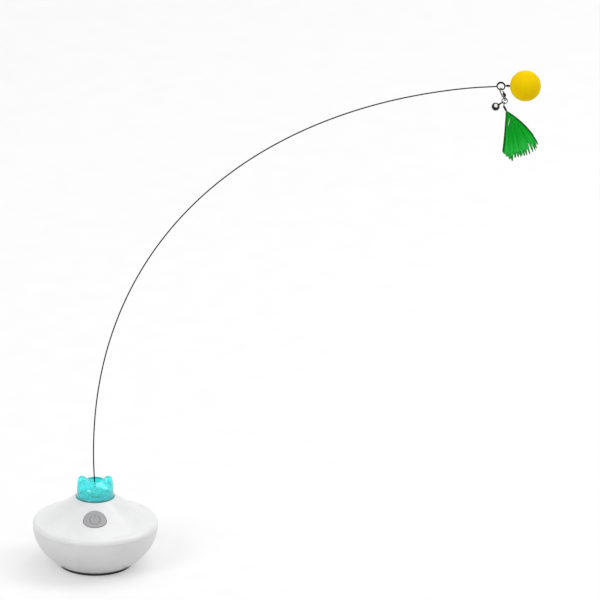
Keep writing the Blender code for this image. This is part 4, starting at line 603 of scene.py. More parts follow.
def foam(colour):
    """Closed foam: small uneven pores, a dusty sheen and painted shade that darkens the pores."""
    nodes = blank()
    pores = nodes.spread(nodes.cells(1500), 0, 1, 0.0, 0.55)
    fine = nodes.noise(5200, 3, 0.7)
    surface = nodes.blend(nodes.spread(nodes.noise(130), 0, 1), *shades(colour, 0.07))
    # Painted shade: the colour darkens inside the pores.
    hollow = nodes.spread(pores, 0.22, 0, 0, 0.5)
    tint = nodes.blend(hollow, surface, tuple(c * 0.55 for c in colour))
    height = nodes.added(pores, nodes.maths("MULTIPLY", fine, 0.35))
    return nodes.finish(tint, nodes.spread(fine, 0.62, 0.78), height, 0.00005, {"Specular IOR Level": 0.05})


def wrap(colour):
    """Shrink film round a cell: satin, with faint creases."""
    nodes = blank()
    creases = nodes.noise(380, 5, 0.7, (1, 3, 1), 1.2)
    tint = nodes.blend(nodes.spread(creases, 0, 1), *shades(colour, 0.10))
    return nodes.finish(tint, nodes.spread(creases, 0.25, 0.42), creases, 0.00008)


STRAND_VALUES = ("tone", "along", "aside", "rim")


def feather_finish(dark, middle, light, pale):
    """Dyed feather: a tone for each strand, paler tips, darker edges, slanted barbs and a pale painted
    highlight streak.
    """
    nodes = blank()
    tone, along, aside, rim = [
        nodes.node("Attribute", attribute_name=name).outputs["Fac"] for name in STRAND_VALUES
    ]
    uneven = nodes.spread(nodes.noise(260, 4, 0.65, (1, 1, 0.35)), -0.12, 0.12)
    level = nodes.added(nodes.added(tone, uneven), nodes.spread(along, -0.10, 0.45, 0.55, 1.0))
    base = nodes.blend(nodes.spread(level, 0, 1, 0.2, 1.0), middle, light)
    # The palest colour serves the brightest tips and the painted highlight streak near the root.
    base = nodes.blend(nodes.spread(level, 0, 1, 1.1, 1.7), base, pale)
    sides = nodes.spread(aside, 0, 0.7, 0.70, 1.0)
    edge = nodes.maths("MULTIPLY", sides, nodes.spread(along, 0.08, 1, 0.70, 0.90))
    tint = nodes.blend(nodes.maths("MAXIMUM", edge, rim), base, dark)
    rows, slant = nodes.maths("MULTIPLY", along, 260), nodes.maths("MULTIPLY", aside, 9)
    barbs = nodes.maths("SINE", nodes.maths("SUBTRACT", rows, slant))
    gloss = nodes.spread(barbs, 0.42, 0.58, -1, 1)
    return nodes.finish(tint, gloss, nodes.spread(barbs, 0, 1, -1, 1), 0.00004, {"Specular IOR Level": 0.1})


FINISHES = {
    "white_shell": moulded((0.86, 0.86, 0.865), 0.34, coat=0.15),
    # A darker copy of the white shell plastic for the bowl: its darkness is painted shade.
    "shade_shell": moulded((0.80, 0.80, 0.805), 0.38, coat=0.10),
    "inner_plastic": moulded((0.70, 0.71, 0.70), 0.50, 0.00001),
    # The cap's finish paints light and shade: a faint glow of its own colour, deeper colour low down and a
    # dark band at its foot.
    "teal_cap": clear_plastic(
        (0.06, 0.97, 0.98), 0.16, 0.85, (0.0, 0.12, 0.13), (0.0, 0.72, 0.76), 0.0576, 0.22, 0.07
    ),
    "grey_button": moulded((0.40, 0.40, 0.41), 0.48, 0.00001),
    "symbol_print": moulded((0.19, 0.19, 0.20), 0.42, 0.000004),
    "dark_rubber": rubber((0.025, 0.025, 0.026), 0.72),
    "clear_rubber": clear_plastic((0.60, 0.66, 0.66), 0.35, 0.35, (0.45, 0.50, 0.50)),
    "steel": metal((0.55, 0.55, 0.56), 0.28),
    "spring_wire": metal((0.012, 0.012, 0.014), 0.45, (1, 1, 1), 0.000002, 0.2, 0.05),
    "bright_metal": metal((0.72, 0.72, 0.74), 0.18, (1, 1, 3)),
    "dark_metal": metal((0.035, 0.035, 0.038), 0.20, (1, 1, 3), rim=0.4),
    "cast_iron": cast((0.16, 0.16, 0.17), 0.65),
    "brass": metal((0.72, 0.55, 0.24), 0.34, (1, 6, 1)),
    "gear_plastic": moulded((0.80, 0.78, 0.70), 0.45, 0.000008),
    "green_board": board((0.02, 0.22, 0.10), (0.06, 0.34, 0.14)),
    "white_board": board((0.80, 0.81, 0.80), (0.72, 0.73, 0.71)),
    "black_plastic": moulded((0.022, 0.022, 0.024), 0.42, 0.00001, 0.2),
    "lamp_plastic": clear_plastic((0.92, 0.92, 0.86), 0.18, 0.55, (0.75, 0.75, 0.70)),
    "battery_wrap": wrap((0.55, 0.57, 0.62)),
    "yellow_ball": foam((1.0, 0.66, 0.0)),
    "green_feather": feather_finish(
        (0.0, 0.11, 0.006), (0.002, 0.52, 0.024), (0.05, 0.70, 0.11), (0.75, 1.0, 0.75)
    ),
}
for slot_name, slot_finish in FINISHES.items():
    slot_finish.name = slot_name


def piece(name, shape, body, slot, stands_for=None, finish=None, angle=SMOOTH_ANGLE):
    """A piece that rides on a body and may stand for a CAD node, in its slot's finish or its own."""
    made = loose(name, shape)
    made.data.materials.append(finish or FINISHES[slot])
    made.data.shade_smooth()
    made.data.set_sharp_from_angle(angle=angle)
    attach(made, body)
    if stands_for:
        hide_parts(stands_for)
    return made


# Shells


RIM_RADIUS = 0.0040
RIM_LIFT = 0.00065
RIM_START = radians(80)
NECK_SLOPE = radians(38)
NECK_PULL = 0.0150
RIM_PULL = 0.0100
SEAM_PULL = 0.01565
FOOT_PULL = (0.0080, 0.0040)
SHELL_EDGE = 0.00016
BOSS_RADIUS = 0.0029
PLATE_RADIUS = 0.0028
BOSS_EDGE = 0.0002
BOSS_DROP = 0.0008
LIP_RADIUS = 0.00024
LIP_SINK = 0.00022
WINDOW_TOP = 0.0040
RAY_START = 0.0200
TONGUE_RISE = 0.0010
TONGUE_WALL = 0.0014
TONGUE_ROOT = 0.0011
BOWL_INSIDE = 0.0045
FLOOR_TOP = 0.0041
WELL_RADIUS = 0.0025
WELL_TOP = 0.0200
SCREW_SEAT = 0.0190
ROOM_TOP = 0.0500
COLUMN_RADIUS = 0.0039
COLUMN_HOLE = 0.0013
GRIP_RADII = (0.0265, 0.0235, 0.0205, 0.0175)
GRIP_HALF = 0.00045
GRIP_DEPTH = 0.00035
FOOT_EDGE = 0.00055


def slope_outline():
    """The upper shell's outer face from the neck to the seam."""
    rim = arc((BASE_RADIUS - RIM_RADIUS, SEAM_HEIGHT + RIM_LIFT), RIM_RADIUS, RIM_START, 0, 14)
    neck = Vector((NECK_RADIUS, NECK_HEIGHT))
    neck_way = Vector((cos(NECK_SLOPE), -sin(NECK_SLOPE)))
    rim_way = Vector((sin(RIM_START), -cos(RIM_START)))
    slope = bezier(neck, neck + neck_way * NECK_PULL, Vector(rim[0]) - rim_way * RIM_PULL, rim[0], 34)
    return slope[:-1] + rim + [(BASE_RADIUS, SEAM_TOP)]


def bowl_outline():
    seam_pull = (BASE_RADIUS, SEAM_HEIGHT - SEAM_PULL)
    foot_pull = (FOOT_RADIUS + FOOT_PULL[0], BOWL_BOTTOM + FOOT_PULL[1])
    return bezier((BASE_RADIUS, SEAM_BOTTOM), seam_pull, foot_pull, (FOOT_RADIUS, BOWL_BOTTOM), 36)


def height_at(outline, radius):
    for (inner_radius, inner_height), (outer_radius, outer_height) in zip(outline, outline[1:]):
        if inner_radius <= radius < outer_radius:
            share = (radius - inner_radius) / (outer_radius - inner_radius)
            return between(inner_height, outer_height, share)
    return outline[-1][1]


BUTTON_FRAME = frame_from(Vector((0, -BUTTON_CIRCLE, BUTTON_HEIGHT)), X_AXIS, BUTTON_OUT)


def egg(margin):
    """The button's outline, taller above its widest line than below it."""
    outline = []
    for x, y in circle(96):
        tall = EGG_ABOVE if y > 0 else EGG_BELOW
        outline.append((x * (EGG_ASIDE + margin), y * (tall + margin)))
    return outline


# The upper shell's outer face, to drop points onto
SLOPE = BVHTree.FromBMesh(lathe([(0, NECK_HEIGHT)] + slope_outline() + [(0, SEAM_TOP)], 240))


def on_slope(x, y, lift=0.0):
    """The point of the slope under a place of the button's flat outline, lifted off it."""
    place = SLOPE.ray_cast(BUTTON_FRAME @ Vector((x, y, RAY_START)), -BUTTON_OUT)[0]
    return place + BUTTON_OUT * lift


def make_upper_shell():
    outer = slope_outline()
    inner = [point for point in inset(outer[:-1], WALL) if point[1] < DECK_BOTTOM]
    outline = [(DECK_HOLE, DECK_HEIGHT), (DECK_RADIUS, DECK_HEIGHT), (DECK_RADIUS, NECK_HEIGHT)]
    outline += outer + [(BASE_RADIUS - WALL, SEAM_TOP)] + inner[::-1]
    outline += [(inner[0][0], DECK_BOTTOM), (DECK_HOLE, DECK_BOTTOM)]
    shell = lathe(rounded(outline, SHELL_EDGE, radians(40)), ROUND_SIDES)
    window = framed(prism(egg(FIT), FLANGE_BOTTOM, WINDOW_TOP), BUTTON_FRAME)
    shell = boolean(shell, "DIFFERENCE", window)
    lip = [on_slope(x, y, -LIP_SINK) for x, y in egg(FIT + LIP_RADIUS)]
    bosses = []
    for reach, angles, radius, bottom in (
        (SCREW_CIRCLE, SCREW_ANGLES, BOSS_RADIUS, COLUMN_TOP + FIT),
        (PLATE_CIRCLE, PLATE_ANGLES, PLATE_RADIUS, PLATE_BOTTOM),
    ):
        top = height_at(outer, reach + radius) - BOSS_DROP
        boss = rounded(tube(BOSS_BORE, radius, bottom, top), BOSS_EDGE)
        bosses += [moved(lathe(boss), *around(reach, angle)) for angle in angles]
    whole = merged(shell, sweep(lip, LIP_RADIUS, 12, cyclic=True), *bosses)
    piece("shell_upper", whole, "base", "white_shell", "upper_shell")


def stadium(size, margin=0.0):
    width, height = size[0] + margin * 2, size[1] + margin * 2
    end = height / 2
    reach = width / 2 - end
    return round_ends((-reach, 0), (reach, 0), end, 0)


def make_lower_shell():
    outer = bowl_outline()
    inner = [point for point in inset(outer, WALL) if BOWL_INSIDE < point[1] < SEAM_BOTTOM - TONGUE_ROOT * 2]
    tongue, tongue_top = BASE_RADIUS - WALL - FIT, SEAM_TOP + TONGUE_RISE
    inside = BASE_RADIUS - WALL - TONGUE_WALL
    outline = [(inside, SEAM_BOTTOM - TONGUE_ROOT), (inside, tongue_top), (tongue, tongue_top)]
    outline += [(tongue, SEAM_BOTTOM)] + outer + [(0, BOWL_BOTTOM), (0, FLOOR_TOP)]
    outline += [(inner[-1][0] - WALL, FLOOR_TOP)] + inner[::-1]
    shell = lathe(rounded(outline, SHELL_EDGE, radians(50)), ROUND_SIDES)
    column = tube(WELL_RADIUS, COLUMN_RADIUS, 0, COLUMN_TOP)[:3] + [(COLUMN_HOLE, COLUMN_TOP)]
    column += [(COLUMN_HOLE, SCREW_SEAT), (WELL_RADIUS, SCREW_SEAT)]
    places = [around(SCREW_CIRCLE, angle) for angle in SCREW_ANGLES]
    wells = [moved(cylinder(WELL_RADIUS, -OVERRUN, WELL_TOP), *place) for place in places]
    columns = [moved(lathe(column), *place) for place in places]
    low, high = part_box("usb_socket")
    back = frame_from(Vector((0, high.y, (low.z + high.z) / 2)), -X_AXIS, Y_AXIS)
    window = framed(prism(stadium(SOCKET_SIZE, FIT), -SOCKET_DEPTH, OVERRUN), back)
    shell = boolean(shell, "DIFFERENCE", merged(*wells), window)
    middle = inset(outer, WALL / 2)
    room = lathe([(0, ROOM_TOP), (middle[0][0], ROOM_TOP)] + middle + [(0, middle[-1][1])], ROUND_SIDES)
    whole = merged(shell, boolean(merged(*columns), "INTERSECT", room))
    # The bowl takes the darker copy of the shell plastic, which paints in its shade.
    piece("shell_lower", whole, "base", "shade_shell", "lower_shell")

    body = soft_prism(stadium(SOCKET_SIZE), -SOCKET_DEPTH, 0, 0.00012)
    body = boolean(body, "DIFFERENCE", prism(stadium(SOCKET_SIZE, -0.0003), -0.0060, OVERRUN))
    plate = soft_prism(rounded(rectangle(*SOCKET_PLATE), 0.0002), -0.0064, -0.0005, 0.0001)
    plug = merged(body, plate)
    piece("socket", framed(plug, back), "base", "bright_metal", "usb_socket")


def make_foot():
    """A rubber foot with a soft edge and turned grip rings under it."""
    outline = [(0, FOOT_TOP), (FOOT_RADIUS, FOOT_TOP), (FOOT_RADIUS, FOOT_EDGE)]
    outline += [(FOOT_RADIUS - FOOT_EDGE, 0)]
    for ring in GRIP_RADII:
        outline += [(ring + GRIP_HALF, 0), (ring + GRIP_HALF * 0.5, GRIP_DEPTH)]
        outline += [(ring - GRIP_HALF * 0.5, GRIP_DEPTH), (ring - GRIP_HALF, 0)]
    foot = lathe(rounded(outline + [(0, 0)], 0.00020), ROUND_SIDES)
    piece("foot", foot, "base", "dark_rubber", "foot_pad")


# Cap


EAR_SHARES = [(0, 1, 1), (0.3, 0.92, 0.93), (0.6, 0.79, 0.72), (0.85, 0.58, 0.43)]
EAR_SHARES += [(0.96, 0.34, 0.24), (1, 0, 0)]
EAR_BASE = 0.0610
EAR_TIP = 0.0743
EAR_REACH = 0.0089
EAR_LEAN = 0.0016
EAR_TIP_REACH = 0.0105
EAR_HALF_WIDTH = 0.0054
EAR_HALF_DEPTH = 0.0060
EAR_TIP_WALL = 0.0020
FLANGE_HEIGHT = 0.0016
CAP_VOXEL = 0.00026


def dome(radius, top):
    rise = (top - CAP_SHOULDER) / sqrt(1 - (CAP_HOLE / radius) ** 2)
    last = acos(CAP_HOLE / radius)
    return [(radius * cos(a), CAP_SHOULDER + rise * sin(a)) for a in spaced(0, last, 24)]


def ear(side, wall):
    """A cat's ear as a tapering oval cone; a wall makes the smaller cone of its hollow."""
    tip = EAR_TIP - (EAR_TIP_WALL if wall else 0)
    rows = []
    for rise, width, depth in smooth_path(EAR_SHARES, 4)[:-1]:
        reach = side * (EAR_REACH + EAR_LEAN * rise)
        shrink = wall * (1 - rise)
        half_width, half_depth = EAR_HALF_WIDTH * width - shrink, EAR_HALF_DEPTH * depth - shrink
        height = between(EAR_BASE, tip, rise)
        rows.append([(reach + half_width * x, half_depth * y, height) for x, y in circle(48)])
    return loft(rows + [[(side * EAR_TIP_REACH, 0, tip)]], (0,))


def make_cap():
    base = DECK_HEIGHT + FIT
    flange = base + FLANGE_HEIGHT
    outline = [(0, base), (CAP_FLANGE, base), (CAP_FLANGE, flange), (CAP_RADIUS, flange + 0.0005)]
    outline += dome(CAP_RADIUS, CAP_TOP) + [(0, CAP_TOP)]
    cap = boolean(lathe(outline, CAP_SIDES), "UNION", ear(-1, 0), ear(1, 0))
    inner_radius, inner_top = CAP_RADIUS - CAP_WALL, CAP_TOP - CAP_WALL
    inner = [(0, base - OVERRUN), (inner_radius, base - OVERRUN)]
    inner += dome(inner_radius, inner_top) + [(0, inner_top)]
    hole = cylinder(CAP_HOLE, inner_top - OVERRUN, CAP_TOP + OVERRUN, 96)
    hollows = [lathe(inner, CAP_SIDES), ear(-1, CAP_WALL), ear(1, CAP_WALL), hole]
    cap = smoothed(boolean(cap, "DIFFERENCE", *hollows), CAP_VOXEL, 6)
    piece("cap", cap, "base", "teal_cap", "ear_cap", angle=radians(80))


# Button


BUTTON_PROUD = 0.0005
BUTTON_DEPTH = 0.0034
BUTTON_EDGE = 0.00045
MARK_HALF = 0.00032
MARK_RADIUS = 0.0041
MARK_LIFT = 0.0009
MARK_GAP = radians(38)
MARK_SINK = 0.0002
MARK_RISE = 0.00008
BAR_START = 0.0018
BAR_LENGTH = 0.0034


def make_button():
    """A cap that follows the slope, with a soft edge, over its flange and stem."""
    rows = [[on_slope(0, 0, BUTTON_PROUD)]]
    for share in (0.15, 0.3, 0.45, 0.6, 0.72, 0.84, 0.93):
        rows.append([on_slope(x * share, y * share, BUTTON_PROUD) for x, y in egg(-BUTTON_EDGE)])
    for turn in spaced(0, pi / 2, 5):
        inside, drop = BUTTON_EDGE * (1 - sin(turn)), BUTTON_EDGE * (1 - cos(turn))
        rows.append([on_slope(x, y, BUTTON_PROUD - drop) for x, y in egg(-inside)])
    rows.append([BUTTON_FRAME @ Vector((x, y, -BUTTON_DEPTH)) for x, y in egg(0)])
    rows.append([BUTTON_FRAME @ Vector((0, 0, -BUTTON_DEPTH))])
    flange = framed(soft_prism(egg(0.0011), FLANGE_BOTTOM, -BUTTON_DEPTH, 0.0002), BUTTON_FRAME)
    piece("button", merged(loft(rows, ()), flange), "button", "grey_button", "power_button")


def ribbon(points):
    """A thin raised line on the button along flat points, with round ends."""
    low, high = BUTTON_PROUD - MARK_SINK, BUTTON_PROUD + MARK_RISE
    flat = [Vector(point) for point in points]
    rows = []
    for index, (place, along) in enumerate(zip(flat, directions(flat))):
        from_end = min(index, len(flat) - 1 - index)
        width = MARK_HALF * max(sqrt(1 - (1 - min(from_end / 3, 1)) ** 2), 0.15)
        row = []
        for share, lift in ((-1, low), (-0.75, high), (0.75, high), (1, low)):
            point = place + Vector((-along.y, along.x)) * (width * share)
            row.append(on_slope(point.x, point.y, lift))
        rows.append(row)
    return loft(rows)


def make_symbol():
    """The plain on and off mark: a broken ring with a short bar."""
    top = pi / 2
    ring = arc((0, MARK_LIFT), MARK_RADIUS, top + MARK_GAP, top + tau - MARK_GAP, 60)
    bar = [(0, height) for height in spaced(MARK_LIFT + BAR_START, BAR_LENGTH, 14)]
    mark = merged(ribbon(ring), ribbon(bar))
    piece("button_mark", mark, "button", "grey_button", finish=FINISHES["symbol_print"])


# Wand and ball


BEAD_RADIUS = 0.00085
FERRULE_BORE = 0.00075
FERRULE_RADIUS = 0.00095
FERRULE_WAIST = 0.00086
SLEEVE_BORE = 0.00075
SLEEVE_RADIUS = 0.00125
SLEEVE_TAPER = 0.00025
SLEEVE_START = 0.0035
SLEEVE_END = 0.0067
GROOVE_HALF = 0.00022
GROOVE_DEPTH = 0.00012
BALL_UNEVEN = 0.00006
MOULD_LINE = 0.00005
MOUTH_DEPTH = 0.00045


def eye_route():
    """The eye's one and a half turns, over the top, under and over again."""
    skip = asin(EYE_BEND / EYE_RADIUS)
    turns = tau * 3 / 2 - skip * 2
    points = []
    for swept in spaced(skip, turns, round(turns / radians(20))):
        angle = pi - swept
        under = clamped(swept / pi - 1)
        aside = EYE_OFFSET * (2 * (3 * under**2 - 2 * under**3) - 1)
        points.append((EYE.x + EYE_RADIUS * cos(angle), aside, EYE.z + EYE_RADIUS * sin(angle)))
    corner, rise = EYE_RADIUS + EYE_BEND / 4, EYE.z + EYE_BEND / 4
    leaving = [(EYE.x + corner, EYE_OFFSET, rise), (EYE.x + EYE_RADIUS + EYE_BEND, EYE_OFFSET, EYE.z)]
    return [(EYE.x - corner, -EYE_OFFSET, rise)] + points + leaving


def wand_route():
    root = Vector((0, 0, WAND_ROOT))
    entry = EYE + Vector((-EYE_RADIUS - EYE_BEND, 0, 0))
    pull = root + Vector((sin(WAND_LEAN), 0, cos(WAND_LEAN))) * ROOT_PULL
    end_pull = entry - Vector((sin(WAND_END_SLOPE), 0, cos(WAND_END_SLOPE))) * END_PULL
    route = []
    for index, (x, _, z) in enumerate(bezier(root, pull, end_pull, entry, WAND_POINTS)):
        late = max(index / WAND_POINTS - 0.97, 0) / 0.03
        route.append((x, -EYE_OFFSET * late, z))
    tail = BALL_CENTRE.x - BALL_RADIUS + WIRE_IN_BALL
    return route + eye_route() + [(tail, EYE_OFFSET, EYE.z)]


def make_wand():
    wire = sweep(smooth_path(wand_route(), 6), WIRE_RADIUS)
    turns = [pi * (step / 20 - 0.5) for step in range(1, 20)]
    half = [(BEAD_RADIUS * cos(a), BEAD_RADIUS * sin(a)) for a in turns]
    bead = moved(lathe([(0, -BEAD_RADIUS)] + half + [(0, BEAD_RADIUS)], PIN_SIDES), z=WAND_ROOT)
    piece("wire", merged(wire, bead), "wand", "spring_wire", "wand_wire")

    outline = [(SLEEVE_BORE, SLEEVE_START), (SLEEVE_RADIUS, SLEEVE_START)]
    for turn in range(4):
        share = (turn + 0.5) / 4
        radius = SLEEVE_RADIUS - SLEEVE_TAPER * share
        height = between(SLEEVE_START, SLEEVE_END, share)
        outline += [(radius, height - GROOVE_HALF), (radius - GROOVE_DEPTH, height)]
        outline.append((radius, height + GROOVE_HALF))
    outline += [(SLEEVE_RADIUS - SLEEVE_TAPER, SLEEVE_END), (SLEEVE_BORE, SLEEVE_END)]
    sleeve = framed(lathe(rounded(outline, 0.00012)), Matrix.Rotation(WAND_LEAN, 4, "Y"))
    piece("sleeve", moved(sleeve, z=WAND_ROOT), "wand", "clear_rubber", "wand_sleeve")

    start, end = EYE.x + EYE_RADIUS + EYE_BEND + FIT, BALL_CENTRE.x - BALL_RADIUS - FIT
    outline = [(FERRULE_BORE, start), (FERRULE_RADIUS, start)]
    for radius, share in ((FERRULE_RADIUS, 0.42), (FERRULE_WAIST, 0.5), (FERRULE_RADIUS, 0.58)):
        outline.append((radius, between(start, end, share)))
    outline += [(FERRULE_RADIUS, end), (FERRULE_BORE, end)]
    along_x = frame_from(Vector((0, EYE_OFFSET, EYE.z)), Y_AXIS, X_AXIS)
    ferrule = framed(lathe(rounded(outline, 0.00008)), along_x)
    piece("ferrule", ferrule, "wand", "dark_metal", "ball_ferrule")


def make_ball():
    """A foam ball: a little uneven, with a faint mould line and a soft mouth for the wire."""
    shape = bmesh.new()
    bmesh.ops.create_icosphere(shape, subdivisions=6, radius=1)
    for vert in shape.verts:
        way = vert.co.normalized()
        uneven = BALL_UNEVEN * sin(way.x * 7 + way.y * 5) * sin(way.z * 6 - way.y * 4)
        line = MOULD_LINE * exp(-((way.y / 0.018) ** 2))
        off_wire = (way + X_AXIS).length
        mouth = MOUTH_DEPTH * exp(-((off_wire / 0.085) ** 2))
        vert.co = BALL_CENTRE + way * (BALL_RADIUS + uneven + line - mouth)
    made = piece("ball", face_out(shape), "wand", "yellow_ball", "foam_ball")


# Chain


CLASP_LEAN = radians(23)
CLASP_TWIST = radians(25)
CLASP_BESIDE = in_plane(CLASP_LEAN)
CLASP_FRAME = frame_from(
    EYE + Vector((0, 0, -EYE_RADIUS)),
    Y_AXIS * cos(CLASP_TWIST) + CLASP_BESIDE * sin(CLASP_TWIST),
    quarter_on(CLASP_BESIDE),
)
CLASP_WIRE = 0.00045
HOOK_RADIUS = 0.00041
HOOK_FOOT = -0.0045
CLASP_HALF = 0.0020
CLASP_MOUTH = -0.0014
EYELET_RADIUS = 0.0015
LUG_RADIUS = 0.0007
LUG_INNER = 0.00045
LUG_OUTER = 0.00090
GATE_HALF = 0.0003
GATE_REACH = 0.00035
GATE_BORE = 0.00045
TAB_REACH = 0.0012
RIVET_HEAD = 0.0006
RIVET_SHANK = 0.0003
RIVET_GAP = 0.00015
RIVET_RIM = 0.00020
HEEL_START = 0.0009
HEEL_RADIUS = 0.00052
HEEL_HALF = 0.000675
PIN = (0.0016, -0.0047)
CLASP_BASE = (0.0016, -0.0062)
RING_CENTRE = Vector((0.325076, 0, 0.393067))
RING_RADIUS = 0.0022
RING_WIRE = 0.00033
RING_CUT = radians(140)
RING_GAP = radians(1.5)
LOOP_RADIUS = 0.0010
LOOP_WIRE = 0.0003
BELL_HANG = radians(214)
BELL_RADIUS = 0.00325
BELL_WALL = 0.0005
BELL_SEAM = 0.0003
BELL_DROP = 0.0064
SLOT_HALF = 0.00045
SLOT_END = 0.0007
STEM_TOP = 0.0006
STEM_FOOT = 0.0008
STEM_END = 0.0036


def clasp_route():
    top = CLASP_HALF - WIRE_RADIUS - CLASP_WIRE - FIT
    hook = arc((0, -top), CLASP_HALF, 0, pi, 20)
    bend = HOOK_FOOT - CLASP_BASE[1]
    foot = arc((-CLASP_HALF + bend, HOOK_FOOT), bend, pi, pi * 3 / 2, 10)
    return [(CLASP_HALF, CLASP_MOUTH)] + hook + foot + [CLASP_BASE]


def lug(start, end, radius, low, high):
    """A plate with round ends and soft edges, in the clasp's plane."""
    outline = round_ends(start, end, radius, atan2(end[1] - start[1], end[0] - start[0]))
    return framed(soft_prism(outline, low, high, 0.0001), STAND_UP)


def across_clasp(shape, place):
    """A turned shape stood across the clasp's plane, at a place of it."""
    return moved(framed(shape, STAND_UP), place[0], 0, place[1])


def make_clasp():
    route = [(across, 0, up) for across, up in clasp_route()]
    body = [sweep(smooth_path(route, 2), HOOK_RADIUS)]
    body.append(lug((HEEL_START, CLASP_BASE[1]), CLASP_BASE, HEEL_RADIUS, -HEEL_HALF, HEEL_HALF))
    for low, high in ((-LUG_OUTER, -LUG_INNER), (LUG_INNER, LUG_OUTER)):
        body.append(lug(CLASP_BASE, PIN, LUG_RADIUS, low, high))
    eyelet = (0, CLASP_BASE[1] - EYELET_RADIUS - CLASP_WIRE / 2)
    body.append(across_clasp(hoop(EYELET_RADIUS, HOOK_RADIUS), eyelet))
    piece("clasp", framed(merged(*body), CLASP_FRAME), "clasp", "dark_metal", "clasp_body")

    seat, end = LUG_OUTER + RIVET_GAP, LUG_OUTER + RIVET_GAP + RIVET_RIM
    rivet = [(0, -end), (RIVET_HEAD, -end), (RIVET_HEAD, -seat), (RIVET_SHANK, -seat)]
    rivet += [(RIVET_SHANK, seat), (RIVET_HEAD, seat), (RIVET_HEAD, end), (0, end)]
    pin = across_clasp(lathe(rounded(rivet, 0.0001), PIN_SIDES), PIN)
    piece("rivet", framed(pin, CLASP_FRAME), "clasp", "dark_metal", "clasp_pin")

    tip = (CLASP_HALF - GATE_REACH, CLASP_MOUTH - CLASP_WIRE - GATE_REACH)
    middle = ((PIN[0] + tip[0]) / 2, (PIN[1] + tip[1]) / 2)
    blade = lug(PIN, tip, GATE_REACH, -GATE_HALF, GATE_HALF)
    knuckle = lug(PIN, (PIN[0], PIN[1] + 0.00001), LUG_RADIUS, -GATE_HALF, GATE_HALF)
    tab = lug(middle, (middle[0] + TAB_REACH, middle[1]), GATE_REACH, -GATE_HALF, GATE_HALF)
    bore = across_clasp(cylinder(GATE_BORE, -0.001, 0.001, PIN_SIDES), PIN)
    gate = boolean(boolean(blade, "UNION", knuckle, tab), "DIFFERENCE", bore)
    piece("gate", framed(gate, CLASP_FRAME), "gate", "dark_metal", "clasp_gate")


def make_ring():
    """A jump ring with its cut, closed but for a hair's breadth."""
    turns = spaced(RING_CUT + RING_GAP, tau - RING_GAP * 2, 72)
    path = [RING_CENTRE + in_plane(a) * RING_RADIUS for a in turns]
    piece("split_ring", sweep(path, RING_WIRE), "ring", "dark_metal", "jump_ring", angle=radians(50))


def hanging_frame(angle):
    outward = in_plane(angle)
    return frame_from(RING_CENTRE + outward * RING_RADIUS, quarter_on(outward), outward)


def hanging_loop():
    return framed(hoop(LOOP_RADIUS, LOOP_WIRE), Matrix.Rotation(pi / 2, 4, "Y"))


def make_bell():
    """A round bell: two thin halves rolled together, a slot with round ends and a loop."""
    place = hanging_frame(BELL_HANG)
    seam, quarter = asin(BELL_SEAM / BELL_RADIUS), pi / 2
    below = arc((0, 0), BELL_RADIUS, -quarter, -seam, 24)[1:]
    above = arc((0, 0), BELL_RADIUS, seam, quarter, 24)[:-1]
    belt = arc((BELL_RADIUS, 0), BELL_SEAM * 0.8, -quarter * 0.9, quarter * 0.9, 8)
    outside = [(0, -BELL_RADIUS)] + below + belt + above + [(0, BELL_RADIUS)]
    hollow = BELL_RADIUS - BELL_WALL
    inside = [(0, -hollow)] + arc((0, 0), hollow, -quarter, quarter, 30)[1:-1] + [(0, hollow)]
    shell = boolean(lathe(outside, 72), "DIFFERENCE", lathe(inside, 72))
    reach = BELL_RADIUS - SLOT_END
    slot = prism(rectangle(SLOT_HALF, reach), SLOT_END, BELL_RADIUS * 2)
    ends = [moved(cylinder(SLOT_END, 0, BELL_RADIUS * 2, PIN_SIDES), 0, side * reach) for side in (-1, 1)]
    shell = moved(boolean(shell, "DIFFERENCE", slot, merged(*ends)), z=BELL_DROP)
    stem = [(0, LOOP_RADIUS), (STEM_TOP, LOOP_RADIUS), (STEM_FOOT, STEM_END), (0, STEM_END)]
    whole = framed(merged(shell, lathe(rounded(stem, 0.0001), PIN_SIDES), hanging_loop()), place)
    middle = place @ Vector((0, 0, BELL_DROP))
    # The bell's finish is dark plating with a painted highlight.
    plating = plating_with_painted_highlight((0.03, 0.03, 0.032), (0.85, 0.85, 0.86), 0.2, middle)
    piece("bell", whole, "bell", "dark_metal", "bell_shell", plating)


CRIMP_WAY = in_plane(radians(-62))
CRIMP_HANG = hanging_frame(radians(260))
CRIMP_DROP = Vector((0, 0, 0.0022))
CRIMP_FRAME = frame_from(CRIMP_HANG @ CRIMP_DROP, Y_AXIS, CRIMP_WAY)
CRIMP_LENGTH = 0.0042
CRIMP_RADIUS = 0.0009
CRIMP_PINCH = 0.00074
CRIMP_NOSE = 0.00063
CRIMP_BANDS = (0.0015, 0.0028)
BAND_HALF = 0.00035
PINCH_HALF = 0.00012
CRIMP_BORE = 0.0006
CRIMP_WALL = 0.0006


def make_crimp():
    """The tube round the feather's root: two pinched bands, a domed end and a loop."""
    outline = [(0, 0), (CRIMP_NOSE, 0), (CRIMP_RADIUS, CRIMP_WALL)]
    for height in CRIMP_BANDS:
        outline += [(CRIMP_RADIUS, height - BAND_HALF), (CRIMP_PINCH, height - PINCH_HALF)]
        outline += [(CRIMP_PINCH, height + PINCH_HALF), (CRIMP_RADIUS, height + BAND_HALF)]
    outline += [(CRIMP_RADIUS, CRIMP_LENGTH), (CRIMP_BORE, CRIMP_LENGTH)]
    outline += [(CRIMP_BORE, CRIMP_WALL), (0, CRIMP_WALL)]
    grip = framed(lathe(rounded(outline, 0.0001)), CRIMP_FRAME)
    stem = framed(cylinder(0.0004, LOOP_RADIUS, 0.0025, PIN_SIDES), CRIMP_HANG)
    whole = merged(grip, stem, framed(hanging_loop(), CRIMP_HANG))
    piece("crimp", whole, "feather", "dark_metal", "feather_crimp")


# Feather


